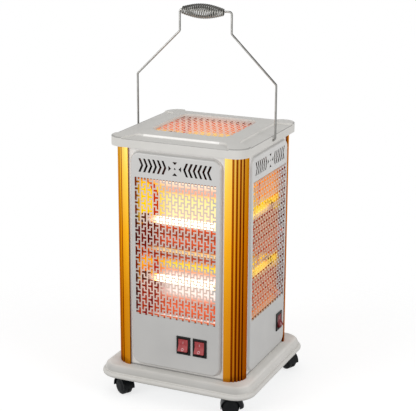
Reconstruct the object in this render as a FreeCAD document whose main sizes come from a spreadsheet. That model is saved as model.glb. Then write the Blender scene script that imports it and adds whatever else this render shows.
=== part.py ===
import FreeCAD, Part
import math
import os

import Sketcher
from FreeCAD import Placement, Rotation, Vector

# A square quartz heater on casters. The floor is z = 0 and the heater's upright axis is x = y = 0.
# The front, with its two switches, faces -Y. Lengths are millimetres, angles are degrees.

doc = FreeCAD.newDocument("quartz_heater")
sheet = doc.addObject("Spreadsheet::Sheet", "sizes")
cells = []
subparts = []


# A number that also remembers, as a formula, the cells that it was worked out from.
class Size(float):
    def __new__(cls, number, formula=None):
        size = super().__new__(cls, number)
        size.formula = formula or repr(float(number))
        return size

    def __add__(self, other):
        return combine(self, other, "+", float(self) + float(other))

    def __radd__(self, other):
        return combine(other, self, "+", float(other) + float(self))

    def __sub__(self, other):
        return combine(self, other, "-", float(self) - float(other))

    def __rsub__(self, other):
        return combine(other, self, "-", float(other) - float(self))

    def __mul__(self, other):
        return combine(self, other, "*", float(self) * float(other))

    def __rmul__(self, other):
        return combine(other, self, "*", float(other) * float(self))

    def __truediv__(self, other):
        return combine(self, other, "/", float(self) / float(other))

    def __neg__(self):
        return combine(0, self, "-", -float(self))


def formula_of(value):
    return value.formula if isinstance(value, Size) else repr(float(value))


def combine(first, second, sign, number):
    return Size(number, f"({formula_of(first)} {sign} {formula_of(second)})")


def cell(name, number):
    row = len(cells) + 1
    sheet.set(f"A{row}", name)
    sheet.set(f"B{row}", str(number))
    sheet.setAlias(f"B{row}", name)
    sheet.recompute()
    cells.append(name)
    return Size(float(sheet.get(name)), f"sizes.{name}")


# Fits
fit_gap = cell("fit_gap", 0.3)  # between pieces that slip into each other
running_gap = cell("running_gap", 0.4)  # between pieces that turn against each other

# Casters
wheel_diameter = cell("wheel_diameter", 30)
wheel_width = cell("wheel_width", 9)
wheel_dome = cell("wheel_dome", 2)  # how far each wheel's outer face bulges
axle_diameter = cell("axle_diameter", 4)
hood_web = cell("hood_web", 3)  # the web between the two wheels of a caster
hood_wall = cell("hood_wall", 1.4)
hood_lip = cell("hood_lip", 13)  # height of the hood's lower edge above the floor
hood_nose = cell("hood_nose", 12)  # radius of the hood round the swivel axis
caster_trail = cell("caster_trail", 11)
caster_spread = cell("caster_spread", 220)  # between swivel axes, along each side
stem_diameter = cell("stem_diameter", 8)
stem_length = cell("stem_length", 12)
stem_collar = cell("stem_collar", 14)  # diameter of the collar under the base

# Base
ground_clearance = cell("ground_clearance", 36)
base_width = cell("base_width", 284)
base_corner = cell("base_corner", 36)
lower_roll = cell("lower_roll", 9)  # height of the wider roll
upper_roll = cell("upper_roll", 12)  # height of the narrower roll above it
roll_step = cell("roll_step", 5)  # how far the upper roll stands back
lower_round = cell("lower_round", 4.3)
upper_round = cell("upper_round", 9)
base_rim = cell("base_rim", 12)  # width of the moulding's foot, outside to inside
shelf = cell("shelf", 3)  # thickness of the base's top
shelf_opening = cell("shelf_opening", 60)  # way for the wires
plate_sheet = cell("plate_sheet", 1.2)
stem_boss = cell("stem_boss", 17)  # outside diameter of the socket for a stem
screw_boss = cell("screw_boss", 9)
screw_diameter = cell("screw_diameter", 3.5)
screw_length = cell("screw_length", 10)
screw_head = cell("screw_head", 7)
screw_head_height = cell("screw_head_height", 2.2)
screw_spread = cell("screw_spread", 240)  # across the base, from screw to screw
screw_pitch = cell("screw_pitch", 130)  # along each side, between its two screws
slot_length = cell("slot_length", 90)
slot_width = cell("slot_width", 4)
slot_pitch = cell("slot_pitch", 12)
slot_count = cell("slot_count", 9)

# Corner columns
body_width = cell("body_width", 234)  # over the columns
body_height = cell("body_height", 398)  # columns and panels, base to top frame
column_corner = cell("column_corner", 29)
column_depth = cell("column_depth", 7.5)
column_lap = cell("column_lap", 1)  # straight edge of a column before its corner curve
lobe_angle = cell("lobe_angle", 26)  # from a column's edge to its first flute
flute_count = cell("flute_count", 4)
flute_width = cell("flute_width", 3.4)
flute_depth = cell("flute_depth", 1.8)
panel_bite = cell("panel_bite", 7)  # how far a panel's edge reaches into a column
column_bore = cell("column_bore", 3.4)  # screw channel along each column

# Side panels
panel_sheet = cell("panel_sheet", 0.6)
flange_setback = cell("flange_setback", 3.5)  # panel flange behind the columns' faces
field_rise = cell("field_rise", 6)  # raised field in front of the flange
field_width = cell("field_width", 159)
field_bottom = cell("field_bottom", 65)  # height of the raised field's lower edge
field_height = cell("field_height", 369.5)
field_corner = cell("field_corner", 14)
field_slope = cell("field_slope", 4)  # how far the field's edge spreads as it drops
field_round = cell("field_round", 2.5)

# Grille of interlocking T holes, and the vents above it
tee_across = cell("tee_across", 2.86)  # step of the lattice across
tee_up = cell("tee_up", 3)  # step of the lattice upwards
tee_ease = cell("tee_ease", 0.3)  # how far each hole reaches past its lattice lines
tee_columns = cell("tee_columns", 13)
tee_rows = cell("tee_rows", 10)
grille_bottom = cell("grille_bottom", 154)
vent_centre = cell("vent_centre", 415)  # height of the row of vents
vent_height = cell("vent_height", 23)
vent_count = cell("vent_count", 6)  # chevrons on each side of the middle motif
vent_pitch = cell("vent_pitch", 8.4)
vent_stroke = cell("vent_stroke", 4)
vent_point = cell("vent_point", 5)  # how far a chevron's point leads its ends
vent_first = cell("vent_first", 20)  # from the middle to the nearest chevron
star_outer = cell("star_outer", 11.5)  # half the height of the middle motif
star_inner = cell("star_inner", 6.6)  # from its middle to each triangle's point
star_flank = cell("star_flank", 4.6)  # half the width of each triangle
star_dot = cell("star_dot", 1.9)

# Reflectors and tubes
mirror_sheet = cell("mirror_sheet", 0.8)
mirror_depth = cell("mirror_depth", 41.5)  # short of the reflectors round the corner
mirror_mouth = cell("mirror_mouth", 118)  # height of each trough at the grille
mirror_waist = cell("mirror_waist", 84)
mirror_back = cell("mirror_back", 44)
mirror_fold = cell("mirror_fold", 30)  # depth at which the trough's sides fold in
mirror_valley = cell("mirror_valley", 7)  # depth of the crease between troughs
mirror_flange = cell("mirror_flange", 2)
tube_diameter = cell("tube_diameter", 12)
tube_depth = cell("tube_depth", 27)  # tube axis behind the panel's face
tube_sink = cell("tube_sink", 17)  # how far the upper tube hangs below its trough's middle
cap_diameter = cell("cap_diameter", 16)
cap_length = cell("cap_length", 14)
cap_collar = cell("cap_collar", 20)
cap_collar_width = cell("cap_collar_width", 2)
cap_socket = cell("cap_socket", 9)  # length of tube inside a cap
top_mirror_depth = cell("top_mirror_depth", 38)
top_mirror_back = cell("top_mirror_back", 60)
top_tube_depth = cell("top_tube_depth", 21)  # tube axis below the top grille

# Top frame
frame_width = cell("frame_width", 246)
frame_corner = cell("frame_corner", 24)
skirt_drop = cell("skirt_drop", 12)  # how far the skirt hangs below the columns' tops
frame_top = cell("frame_top", 4)  # thickness of the frame over the columns
frame_round = cell("frame_round", 2)
crown_rise = cell("crown_rise", 5)  # from the frame's edge up to its window
crown_margin = cell("crown_margin", 2.2)
window_width = cell("window_width", 141)
window_corner = cell("window_corner", 20)
window_depth = cell("window_depth", 3)  # top grille below the window's rim
window_lip = cell("window_lip", 7)  # how far the frame laps over the top grille
scoop_reach = cell("scoop_reach", 27)  # from the frame's side to a scoop's inner edge
scoop_drop = cell("scoop_drop", 2.6)
scoop_step = cell("scoop_step", 3)  # height of a scoop's inner wall
scoop_round = cell("scoop_round", 2.6)  # hollow round along the foot of that wall
scoop_inner = cell("scoop_inner", 160)
scoop_outer = cell("scoop_outer", 192)
top_columns = cell("top_columns", 12)
top_rows = cell("top_rows", 5)

# Switches
bezel_width = cell("bezel_width", 25)
bezel_height = cell("bezel_height", 32)
bezel_thickness = cell("bezel_thickness", 2)
bezel_round = cell("bezel_round", 0.8)
switch_wall = cell("switch_wall", 2)
switch_depth = cell("switch_depth", 20)
switch_height = cell("switch_height", 110.5)  # middle of the switches above the floor
pair_middle = cell("pair_middle", 30.5)  # middle of the front pair, right of centre
pair_pitch = cell("pair_pitch", 30)
single_offset = cell("single_offset", 54)  # lone switch of each other side
rocker_width = cell("rocker_width", 17)
rocker_height = cell("rocker_height", 21)
rocker_tilt = cell("rocker_tilt", 12)  # either way from the middle
rocker_dish = cell("rocker_dish", 2.4)  # ends of a rocker above its middle
rocker_body = cell("rocker_body", 9)
pivot_depth = cell("pivot_depth", 4)  # rocker pivot behind the bezel's face
pivot_pin = cell("pivot_pin", 2.4)

# Bail handle with a coiled grip
bail_wire = cell("bail_wire", 3.5)
bail_height = cell("bail_height", 449.6)  # pivot above the floor
bail_span = cell("bail_span", 254)  # between the two legs
bail_hook = cell("bail_hook", 12)  # length of each hooked end
bail_leg = cell("bail_leg", 93)
bail_shoulder = cell("bail_shoulder", 78)  # height of the slanted stretch
bail_neck = cell("bail_neck", 36)
grip_span = cell("grip_span", 94)  # between the two necks
bail_bend = cell("bail_bend", 4.5)
grip_wire = cell("grip_wire", 2.5)
grip_length = cell("grip_length", 79)
grip_middle = cell("grip_middle", 25.4)  # outside diameter of the coil's fat middle
grip_end = cell("grip_end", 12)
grip_turns = cell("grip_turns", 20)

# Cord gland
gland_bore = cell("gland_bore", 7)
gland_body = cell("gland_body", 14)
gland_flange = cell("gland_flange", 19)
gland_flange_width = cell("gland_flange_width", 3)
gland_nose = cell("gland_nose", 8)
gland_taper = cell("gland_taper", 1)
gland_offset = cell("gland_offset", -50)
gland_height = cell("gland_height", 86)

# Places worked out from those sizes
base_height = lower_roll + upper_roll
base_top = ground_clearance + base_height
body_top = base_top + body_height
body_half = body_width / 2
flange_plane = body_half - flange_setback
field_plane = flange_plane + field_rise
field_back = field_plane - panel_sheet
column_edge = body_half - column_corner - column_lap
column_centre = body_half - column_corner
panel_half = column_edge + panel_bite
grille_width = tee_across * 4 * tee_columns - tee_across
grille_height = tee_up * 8 * tee_rows
grille_middle = grille_bottom + grille_height / 2
skirt_bottom = body_top - skirt_drop
frame_shoulder = body_top + frame_top
window_rim = frame_shoulder + crown_rise
top_grille_face = window_rim - window_depth
mirror_front = field_back
trough_half = grille_width / 2
upper_tube = grille_middle + grille_height / 4 - tube_sink
lower_tube = grille_middle - grille_height / 4
wheel_radius = wheel_diameter / 2


def origin_feature(body, role):
    return [feature for feature in body.Origin.OriginFeatures if feature.Role == role][0]


def new_body(label, placement=None):
    body = doc.addObject("PartDesign::Body", label)
    body.Label = label
    body.Placement = placement or Placement()
    subparts.append(body)
    return body


# A sketch on one of the body's own planes, moved along the plane's normal by lift and within the
# plane to the point (across, up), then turned in the plane by spin.
def new_sketch(body, name, plane, lift=0, across=0, up=0, spin=0):
    sketch = body.newObject("Sketcher::SketchObject", f"{body.Name}_{name}")
    sketch.AttachmentSupport = [(origin_feature(body, plane), "")]
    sketch.MapMode = "FlatFace"
    sketch.AttachmentOffset = Placement(Vector(across, up, lift), Rotation(Vector(0, 0, 1), spin))
    sketch.setExpression("AttachmentOffset.Base.x", formula_of(across))
    sketch.setExpression("AttachmentOffset.Base.y", formula_of(up))
    sketch.setExpression("AttachmentOffset.Base.z", formula_of(lift))
    if isinstance(spin, Size):
        sketch.setExpression("AttachmentOffset.Rotation.Angle", formula_of(spin))
    return sketch


def add_rule(sketch, kind, *args):
    return sketch.addConstraint(Sketcher.Constraint(kind, *args))


def add_measure(sketch, kind, *args):
    value = args[-1]
    index = add_rule(sketch, kind, *args[:-1], float(value))
    sketch.setExpression(f"Constraints[{index}]", formula_of(value))


# A closed outline of straight sides through the given points.
def draw_outline(sketch, points):
    count = len(points)
    lines = []
    for index, (x, y) in enumerate(points):
        next_x, next_y = points[(index + 1) % count]
        line = Part.LineSegment(Vector(x, y, 0), Vector(next_x, next_y, 0))
        lines.append(sketch.addGeometry(line, False))
    for index, line in enumerate(lines):
        add_rule(sketch, "Coincident", line, 2, lines[(index + 1) % count], 1)
    for line, (x, y) in zip(lines, points):
        for kind, value in (("DistanceX", x), ("DistanceY", y)):
            if float(value) == 0.0:
                add_rule(sketch, "PointOnObject", line, 1, -2 if kind == "DistanceX" else -1)
            else:
                add_measure(sketch, kind, line, 1, value)


def draw_box(sketch, left, right, bottom, top):
    draw_outline(sketch, [(left, bottom), (right, bottom), (right, top), (left, top)])


def draw_circle(sketch, x, y, diameter):
    circle = sketch.addGeometry(Part.Circle(Vector(x, y, 0), Vector(0, 0, 1), diameter / 2), False)
    for kind, value in (("DistanceX", x), ("DistanceY", y)):
        if float(value) == 0.0:
            add_rule(sketch, "PointOnObject", circle, 3, -2 if kind == "DistanceX" else -1)
        else:
            add_measure(sketch, kind, circle, 3, value)
    add_measure(sketch, "Diameter", circle, diameter)


# An upright rectangle with four equal rounded corners.
def draw_rounded_box(sketch, left, right, bottom, top, radius):
    corners = [(right - radius, bottom + radius, 270), (right - radius, top - radius, 0),
               (left + radius, top - radius, 90), (left + radius, bottom + radius, 180)]
    arcs = []
    for x, y, start in corners:
        circle = Part.Circle(Vector(x, y, 0), Vector(0, 0, 1), radius)
        arc = Part.ArcOfCircle(circle, math.radians(start), math.radians(start + 90))
        arcs.append(sketch.addGeometry(arc, False))
    lines = []
    for index in range(4):
        x, y, start = corners[index]
        next_x, next_y, next_start = corners[(index + 1) % 4]
        turn = math.radians(next_start)
        out = Vector(math.cos(turn) * radius, math.sin(turn) * radius, 0)
        line = Part.LineSegment(Vector(x, y, 0) + out, Vector(next_x, next_y, 0) + out)
        lines.append(sketch.addGeometry(line, False))
    for index in range(4):
        add_rule(sketch, "Tangent", arcs[index], 2, lines[index], 1)
        add_rule(sketch, "Tangent", lines[index], 2, arcs[(index + 1) % 4], 1)
    for index in range(1, 4):
        add_rule(sketch, "Equal", arcs[0], arcs[index])
    add_measure(sketch, "Radius", arcs[0], radius)
    add_rule(sketch, "Vertical", lines[0])
    add_rule(sketch, "Horizontal", lines[1])
    add_rule(sketch, "Vertical", lines[2])
    add_rule(sketch, "Horizontal", lines[3])
    add_measure(sketch, "DistanceX", lines[0], 1, right)
    add_measure(sketch, "DistanceY", lines[1], 1, top)
    add_measure(sketch, "DistanceX", lines[2], 1, left)
    add_measure(sketch, "DistanceY", lines[3], 1, bottom)


def draw_rounded_square(sketch, half, radius):
    draw_rounded_box(sketch, -half, half, -half, half, radius)


def extrude(body, kind, sketch, length=None, both_ways=False, backwards=False):
    feature = body.newObject(f"PartDesign::{kind}", f"{sketch.Name}_{kind.lower()}")
    feature.Profile = sketch
    if both_ways:
        feature.SideType = "Symmetric"
    feature.Reversed = backwards
    if length is None:
        feature.Type = "ThroughAll"
    else:
        feature.Type = "Length"
        feature.Length = float(length)
        feature.setExpression("Length", formula_of(length))
    return feature


def pad(body, sketch, length, both_ways=False, backwards=False):
    return extrude(body, "Pad", sketch, length, both_ways, backwards)


def pocket(body, sketch, length=None, both_ways=False, backwards=False):
    return extrude(body, "Pocket", sketch, length, both_ways, backwards)


def loft(body, kind, first, second):
    feature = body.newObject(f"PartDesign::{kind}", f"{first.Name}_loft")
    feature.Profile = first
    feature.Sections = [second]
    feature.Ruled = True
    return feature


def revolve(body, sketch):
    feature = body.newObject("PartDesign::Revolution", f"{sketch.Name}_turned")
    feature.Profile = sketch
    feature.ReferenceAxis = (sketch, ["V_Axis"])
    feature.Angle = 360
    return feature


# Rounds the edges of the body's last feature that the test picks.
def round_edges(body, name, radius, wanted):
    doc.recompute()
    base = body.Tip
    names = [f"Edge{index + 1}" for index, edge in enumerate(base.Shape.Edges) if wanted(edge)]
    feature = body.newObject("PartDesign::Fillet", f"{body.Name}_{name}")
    feature.Base = (base, names)
    feature.Radius = float(radius)
    feature.setExpression("Radius", formula_of(radius))
    return feature


# Edges that lie level at a height and keep further out from the axis than a reach.
def level_edge(height, reach):
    def wanted(edge):
        box = edge.BoundBox
        flat = abs(box.ZMin - height) < 1e-3 and abs(box.ZMax - height) < 1e-3
        far = max(abs(edge.CenterOfMass.x), abs(edge.CenterOfMass.y)) > reach
        return flat and far
    return wanted


def new_solid(label, shape, placement=None):
    feature = doc.addObject("Part::Feature", label)
    feature.Label = label
    feature.Shape = shape
    feature.Placement = placement or Placement()
    subparts.append(feature)
    return feature


def turned(turn):
    return Placement(Vector(), Rotation(Vector(0, 0, 1), turn))


def four_corners(spread):
    half = spread / 2
    return [(sign_x * half, sign_y * half) for sign_x in (-1, 1) for sign_y in (-1, 1)]


def plate_screw_points():
    near = screw_pitch / 2
    far = screw_spread / 2
    along_x = [(sign * near, side * far) for sign in (-1, 1) for side in (-1, 1)]
    return along_x + [(y, x) for x, y in along_x]


# Base: two stacked rolls, hollow from below, with sockets for the caster stems.
base = new_body("base_tray")
foot = new_sketch(base, "lower_roll", "XY_Plane", ground_clearance)
draw_rounded_square(foot, base_width / 2, base_corner)
pad(base, foot, lower_roll)
round_edges(base, "lower_edges", lower_round, lambda edge: level_edge(ground_clearance, 0)(edge)
            or level_edge(ground_clearance + lower_roll, 0)(edge))
step = new_sketch(base, "upper_roll", "XY_Plane", ground_clearance + lower_roll)
draw_rounded_square(step, base_width / 2 - roll_step, base_corner - roll_step)
pad(base, step, upper_roll)
round_edges(base, "upper_edge", upper_round, level_edge(base_top, 0))
hollow = new_sketch(base, "hollow", "XY_Plane", ground_clearance)
draw_rounded_square(hollow, base_width / 2 - base_rim, base_corner - base_rim)
pocket(base, hollow, base_height - shelf, backwards=True)
sockets = new_sketch(base, "sockets", "XY_Plane", ground_clearance + plate_sheet)
for x, y in four_corners(caster_spread):
    draw_circle(sockets, x, y, stem_boss)
    draw_circle(sockets, x, y, stem_diameter + running_gap * 2)
for x, y in plate_screw_points():
    draw_circle(sockets, x, y, screw_boss)
    draw_circle(sockets, x, y, screw_diameter + fit_gap)
pad(base, sockets, base_height - shelf - plate_sheet)
opening = new_sketch(base, "opening", "XY_Plane", base_top)
draw_rounded_square(opening, shelf_opening / 2, base_corner - base_rim)
pocket(base, opening, shelf)

# Steel plate that closes the base from below, with a row of air slots.
plate = new_body("base_bottom_plate")
blank = new_sketch(plate, "blank", "XY_Plane", ground_clearance)
draw_rounded_square(blank, base_width / 2 - base_rim - fit_gap, base_corner - base_rim - fit_gap)
pad(plate, blank, plate_sheet)
holes = new_sketch(plate, "holes", "XY_Plane", ground_clearance)
for x, y in four_corners(caster_spread):
    draw_circle(holes, x, y, stem_diameter + running_gap * 2)
for x, y in plate_screw_points():
    draw_circle(holes, x, y, screw_diameter + fit_gap)
for index in range(int(slot_count)):
    middle = (index - (slot_count - 1) / 2) * slot_pitch
    draw_box(holes, -slot_length / 2, slot_length / 2, middle - slot_width / 2,
             middle + slot_width / 2)
pocket(plate, holes, plate_sheet, backwards=True)


# Pan-head screws that hold the plate to the bosses of the base, heads downward.
def screw_shape():
    shank = Part.makeCylinder(screw_diameter / 2, screw_length)
    head = Part.makeCylinder(screw_head / 2, screw_head_height, Vector(), Vector(0, 0, -1))
    return shank.fuse(head).removeSplitter()


screws = []
for x, y in plate_screw_points():
    screw = screw_shape()
    screw.translate(Vector(x, y, ground_clearance))
    screws.append(screw)
new_solid("base_screws", Part.makeCompound(screws))


# Fluted column: a curved band with a slot along each edge that holds a panel.
def build_column(label, turn):
    column = new_body(label, turned(turn))
    inner = column_corner - column_depth
    band = new_sketch(column, "band", "XY_Plane", base_top, column_centre, -column_centre)
    rim = Part.Circle(Vector(), Vector(0, 0, 1), column_corner)
    back = Part.Circle(Vector(), Vector(0, 0, 1), inner)
    outer_arc = band.addGeometry(Part.ArcOfCircle(rim, -math.pi / 2, 0), False)
    inner_arc = band.addGeometry(Part.ArcOfCircle(back, -math.pi / 2, 0), False)
    points = [(column_corner, 0), (column_corner, column_lap), (inner, column_lap), (inner, 0)]
    right = [band.addGeometry(Part.LineSegment(Vector(*first, 0), Vector(*second, 0)), False)
             for first, second in zip(points, points[1:])]
    left = [band.addGeometry(Part.LineSegment(Vector(-first[1], -first[0], 0),
                                              Vector(-second[1], -second[0], 0)), False)
            for first, second in zip(points, points[1:])]
    for arc, side in ((outer_arc, 0), (inner_arc, 2)):
        add_rule(band, "Coincident", arc, 3, -1, 1)
        end = 1 if side == 0 else 2
        add_rule(band, "Coincident", arc, 2, right[side], end)
        add_rule(band, "Coincident", arc, 1, left[side], end)
    add_rule(band, "PointOnObject", outer_arc, 2, -1)
    add_rule(band, "PointOnObject", inner_arc, 2, -1)
    add_rule(band, "PointOnObject", outer_arc, 1, -2)
    add_rule(band, "PointOnObject", inner_arc, 1, -2)
    for lines in (right, left):
        add_rule(band, "Coincident", lines[0], 2, lines[1], 1)
        add_rule(band, "Coincident", lines[1], 2, lines[2], 1)
    for line in (right[0], right[2], left[1]):
        add_rule(band, "Vertical", line)
    for line in (right[1], left[0], left[2]):
        add_rule(band, "Horizontal", line)
    add_measure(band, "DistanceY", right[0], 2, column_lap)
    add_measure(band, "DistanceX", left[0], 2, -column_lap)
    add_measure(band, "Radius", outer_arc, column_corner)
    add_measure(band, "Radius", inner_arc, inner)
    pad(column, band, body_height)
    slots = new_sketch(column, "slots", "XY_Plane", base_top)
    slot_end = panel_half + fit_gap
    slot_front = flange_plane + fit_gap / 2
    slot_back = flange_plane - panel_sheet - fit_gap / 2
    draw_box(slots, column_edge - column_lap, slot_end, -slot_front, -slot_back)
    draw_box(slots, slot_back, slot_front, -slot_end, column_lap - column_edge)
    pocket(column, slots, body_height, backwards=True)
    flute = new_sketch(column, "flute", "XY_Plane", base_top, column_centre, -column_centre,
                       lobe_angle - 90)
    floor = column_corner - flute_depth
    mouth = column_corner + flute_depth
    draw_outline(flute, [(floor, -flute_width / 4), (mouth, -flute_width * 3 / 4),
                         (mouth, flute_width * 3 / 4), (floor, flute_width / 4)])
    cut = pocket(column, flute, body_height, backwards=True)
    flutes = column.newObject("PartDesign::PolarPattern", f"{label}_flutes")
    flutes.Originals = [cut]
    flutes.Axis = (flute, ["N_Axis"])
    flutes.Angle = float(90 - 2 * lobe_angle)
    flutes.setExpression("Angle", formula_of(90 - 2 * lobe_angle))
    flutes.Occurrences = int(flute_count)
    flutes.setExpression("Occurrences", formula_of(flute_count))
    column.Tip = flutes
    bore = new_sketch(column, "bore", "XY_Plane", base_top, column_centre, -column_centre, -45)
    draw_circle(bore, column_corner - flute_depth - column_bore, 0, column_bore)
    pocket(column, bore, body_height, backwards=True)
    return column


build_column("front_right_column", 0)
build_column("rear_right_column", 90)
build_column("rear_left_column", 180)
build_column("front_left_column", 270)


# Outlines of the T holes of a grille, from its lower left corner. In each cell a T that opens to
# the right interlocks with one half a cell lower that opens to the left, and holes that reach
# past the grille's upper or lower edge are cut off there.
def tee_outlines(columns, rows):
    across = float(tee_across)
    up = float(tee_up)
    top = 8 * rows * up
    outlines = []
    for column in range(columns):
        left = column * 4 * across
        for row in range(rows):
            high = top - row * 8 * up
            bar = (left, left + across, high - 5 * up, high)
            outlines.append(tee_outline(bar, left + 3 * across, high - 3 * up, high - 2 * up))
        for row in range(-1, rows):
            high = top - (row * 8 + 4) * up
            bar = (left + 2 * across, left + 3 * across, max(high - 5 * up, 0), min(high, top))
            if row < 0:
                outlines.append(box_outline(*bar, float(tee_ease)))
            else:
                outlines.append(tee_outline(bar, left, high - 3 * up, high - 2 * up))
    return outlines


def box_outline(left, right, bottom, top, ease=0):
    left = left - ease
    right = right + ease
    bottom = bottom - ease
    top = top + ease
    return [(left, bottom), (right, bottom), (right, top), (left, top)]


def tee_outline(bar, stem_end, stem_bottom, stem_top):
    ease = float(tee_ease)
    left = bar[0] - ease
    right = bar[1] + ease
    bottom = bar[2] - ease
    top = bar[3] + ease
    stem_bottom = stem_bottom - ease
    stem_top = stem_top + ease
    if stem_end > right:
        stem_end = stem_end + ease
        return [(left, bottom), (right, bottom), (right, stem_bottom), (stem_end, stem_bottom),
                (stem_end, stem_top), (right, stem_top), (right, top), (left, top)]
    stem_end = stem_end - ease
    return [(left, bottom), (right, bottom), (right, top), (left, top), (left, stem_top),
            (stem_end, stem_top), (stem_end, stem_bottom), (left, stem_bottom)]


# Vents: two groups of chevrons that point at a motif of four triangles round a dot.
def vent_outlines():
    outlines = []
    half = vent_height / 2
    for side in (-1, 1):
        for index in range(int(vent_count)):
            tip = side * (vent_first - vent_point + index * vent_pitch)
            tail = side * (vent_first + index * vent_pitch)
            width = side * vent_stroke
            chevron = [(tail, -half), (tail + width, -half), (tip + width, 0),
                       (tail + width, half), (tail, half), (tip, 0)]
            outlines.append(chevron[::side])
    for turn in range(4):
        angle = math.radians(90 * turn)
        triangle = [(0, star_inner), (star_flank, star_outer), (-star_flank, star_outer)]
        outlines.append([(x * math.cos(angle) - y * math.sin(angle),
                          x * math.sin(angle) + y * math.cos(angle)) for x, y in triangle])
    outlines.append([(star_dot, 0), (0, star_dot), (-star_dot, 0), (0, -star_dot)])
    return outlines


# A closed wire in an upright plane that faces the front, through points from its place (x, z).
def front_wire(outline, place, y):
    corners = [Vector(x + place[0], y, z + place[1]) for x, z in outline]
    return Part.makePolygon(corners + corners[:1])


# Pressed sheet panel: a flange held in the columns' slots and a raised field with rounded edges.
panel_blank = doc.addObject("PartDesign::Body", "panel_blank")
flange = new_sketch(panel_blank, "flange", "XZ_Plane", flange_plane - panel_sheet)
draw_box(flange, -panel_half, panel_half, base_top, body_top)
pad(panel_blank, flange, panel_sheet)


def field_outline(name, lift, spread):
    sketch = new_sketch(panel_blank, name, "XZ_Plane", lift)
    draw_rounded_box(sketch, -field_width / 2 - spread, field_width / 2 + spread,
                     field_bottom - spread, field_bottom + field_height + spread,
                     field_corner + spread)
    return sketch


# Edges that lie in an upright plane that faces the front.
def facing_edge(y):
    def wanted(edge):
        return abs(edge.BoundBox.YMin - y) < 1e-3 and abs(edge.BoundBox.YMax - y) < 1e-3
    return wanted


foot_front = field_outline("foot_front", flange_plane, field_slope)
crest_front = field_outline("crest_front", field_plane, Size(0))
loft(panel_blank, "AdditiveLoft", foot_front, crest_front)
round_edges(panel_blank, "crest_round", field_round, facing_edge(-field_plane))
foot_back = field_outline("foot_back", flange_plane - panel_sheet, field_slope - panel_sheet)
crest_back = field_outline("crest_back", field_back, -panel_sheet)
loft(panel_blank, "SubtractiveLoft", foot_back, crest_back)
doc.recompute()


# A flat face with holes, whichever way round its outer wire runs.
def holed_face(outer, holes):
    face = Part.Face([outer] + holes)
    if face.Area > Part.Face(outer).Area:
        face = Part.Face([outer] + [hole.reversed() for hole in holes])
    return face


def moved_wires(wires, shift):
    copies = [wire.copy() for wire in wires]
    for wire in copies:
        wire.translate(shift)
    return copies


# The blank with holes punched through its field: both faces of the field get the holes' wires, and
# each hole gets its walls.
def punched_panel(hole_wires):
    faces = []
    for face in panel_blank.Shape.Faces:
        box = face.BoundBox
        level = [y for y in (-field_plane, -field_back)
                 if abs(box.YMin - y) < 1e-3 and abs(box.YMax - y) < 1e-3]
        if level:
            face = holed_face(face.OuterWire, moved_wires(hole_wires, Vector(0, level[0], 0)))
        faces.append(face)
    for wire in moved_wires(hole_wires, Vector(0, -field_plane, 0)):
        faces.extend(wire.extrude(Vector(0, panel_sheet, 0)).Faces)
    skin = Part.makeCompound(faces)
    skin.sewShape()
    solid = Part.makeSolid(skin.Shells[0])
    if solid.Volume < 0:
        solid.reverse()
    return solid


def switch_hole(x):
    half_width = bezel_width / 2 - switch_wall + fit_gap
    half_height = bezel_height / 2 - switch_wall + fit_gap
    outline = box_outline(-half_width, half_width, -half_height, half_height)
    return front_wire(outline, (x, switch_height), 0)


grille_holes = [front_wire(outline, (-grille_width / 2, grille_bottom), 0)
                for outline in tee_outlines(int(tee_columns), int(tee_rows))]
grille_holes += [front_wire(outline, (0, vent_centre), 0) for outline in vent_outlines()]
pair_places = [pair_middle - pair_pitch / 2, pair_middle + pair_pitch / 2]
gland_hole = Part.Wire([Part.Circle(Vector(gland_offset, 0, gland_height), Vector(0, -1, 0),
                                    gland_body / 2 + fit_gap).toShape()])
plain_side = punched_panel(grille_holes + [switch_hole(single_offset)])
new_solid("front_panel", punched_panel(grille_holes + [switch_hole(x) for x in pair_places]))
new_solid("right_panel", plain_side, turned(90))
new_solid("left_panel", plain_side, turned(270))
new_solid("rear_panel", punched_panel(grille_holes + [switch_hole(single_offset), gland_hole]),
          turned(180))


# Folded reflector behind a side grille: two troughs with closed ends and a thin flange that lies
# against the back of the panel.
def build_reflector(label, turn):
    mirror = new_body(label, turned(turn))
    shell = new_sketch(mirror, "shell", "YZ_Plane")
    trough = grille_height / 4
    points = [(0, mirror_mouth / 2), (mirror_fold, mirror_waist / 2),
              (mirror_depth, mirror_back / 2), (mirror_depth, -mirror_back / 2),
              (mirror_fold, -mirror_waist / 2), (0, -mirror_mouth / 2)]
    outer = []
    for middle in (grille_middle + trough, grille_middle - trough):
        for depth, height in points[1:5]:
            side = mirror_sheet if float(height) > 0 else -mirror_sheet
            outer.append((depth - mirror_front + mirror_sheet, middle + height + side))
    top = (-mirror_front, grille_middle + trough + mirror_mouth / 2 + mirror_sheet)
    low = (-mirror_front, grille_middle - trough - mirror_mouth / 2 - mirror_sheet)
    crease = (mirror_valley - mirror_front, grille_middle)
    draw_outline(shell, [top] + outer[:4] + [crease] + outer[4:] + [low])
    pad(mirror, shell, (trough_half + mirror_sheet) * 2, both_ways=True)
    inside = new_sketch(mirror, "inside", "YZ_Plane")
    for middle in (grille_middle + trough, grille_middle - trough):
        draw_outline(inside, [(depth - mirror_front, middle + height) for depth, height in points])
    pocket(mirror, inside, trough_half * 2, both_ways=True)
    rim = new_sketch(mirror, "rim", "XZ_Plane", mirror_front - mirror_sheet)
    reach = trough_half + mirror_flange
    tall = grille_height / 2 + mirror_flange
    draw_box(rim, -reach, reach, grille_middle - tall, grille_middle + tall)
    draw_box(rim, -trough_half, trough_half, grille_middle - trough - mirror_mouth / 2,
             grille_middle + trough + mirror_mouth / 2)
    pad(mirror, rim, mirror_sheet)
    ends = new_sketch(mirror, "tube_holes", "YZ_Plane")
    for height in (upper_tube, lower_tube):
        draw_circle(ends, tube_depth - field_plane, height, cap_diameter + fit_gap)
    pocket(mirror, ends, (trough_half + mirror_sheet * 2) * 2, both_ways=True)
    return mirror


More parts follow.
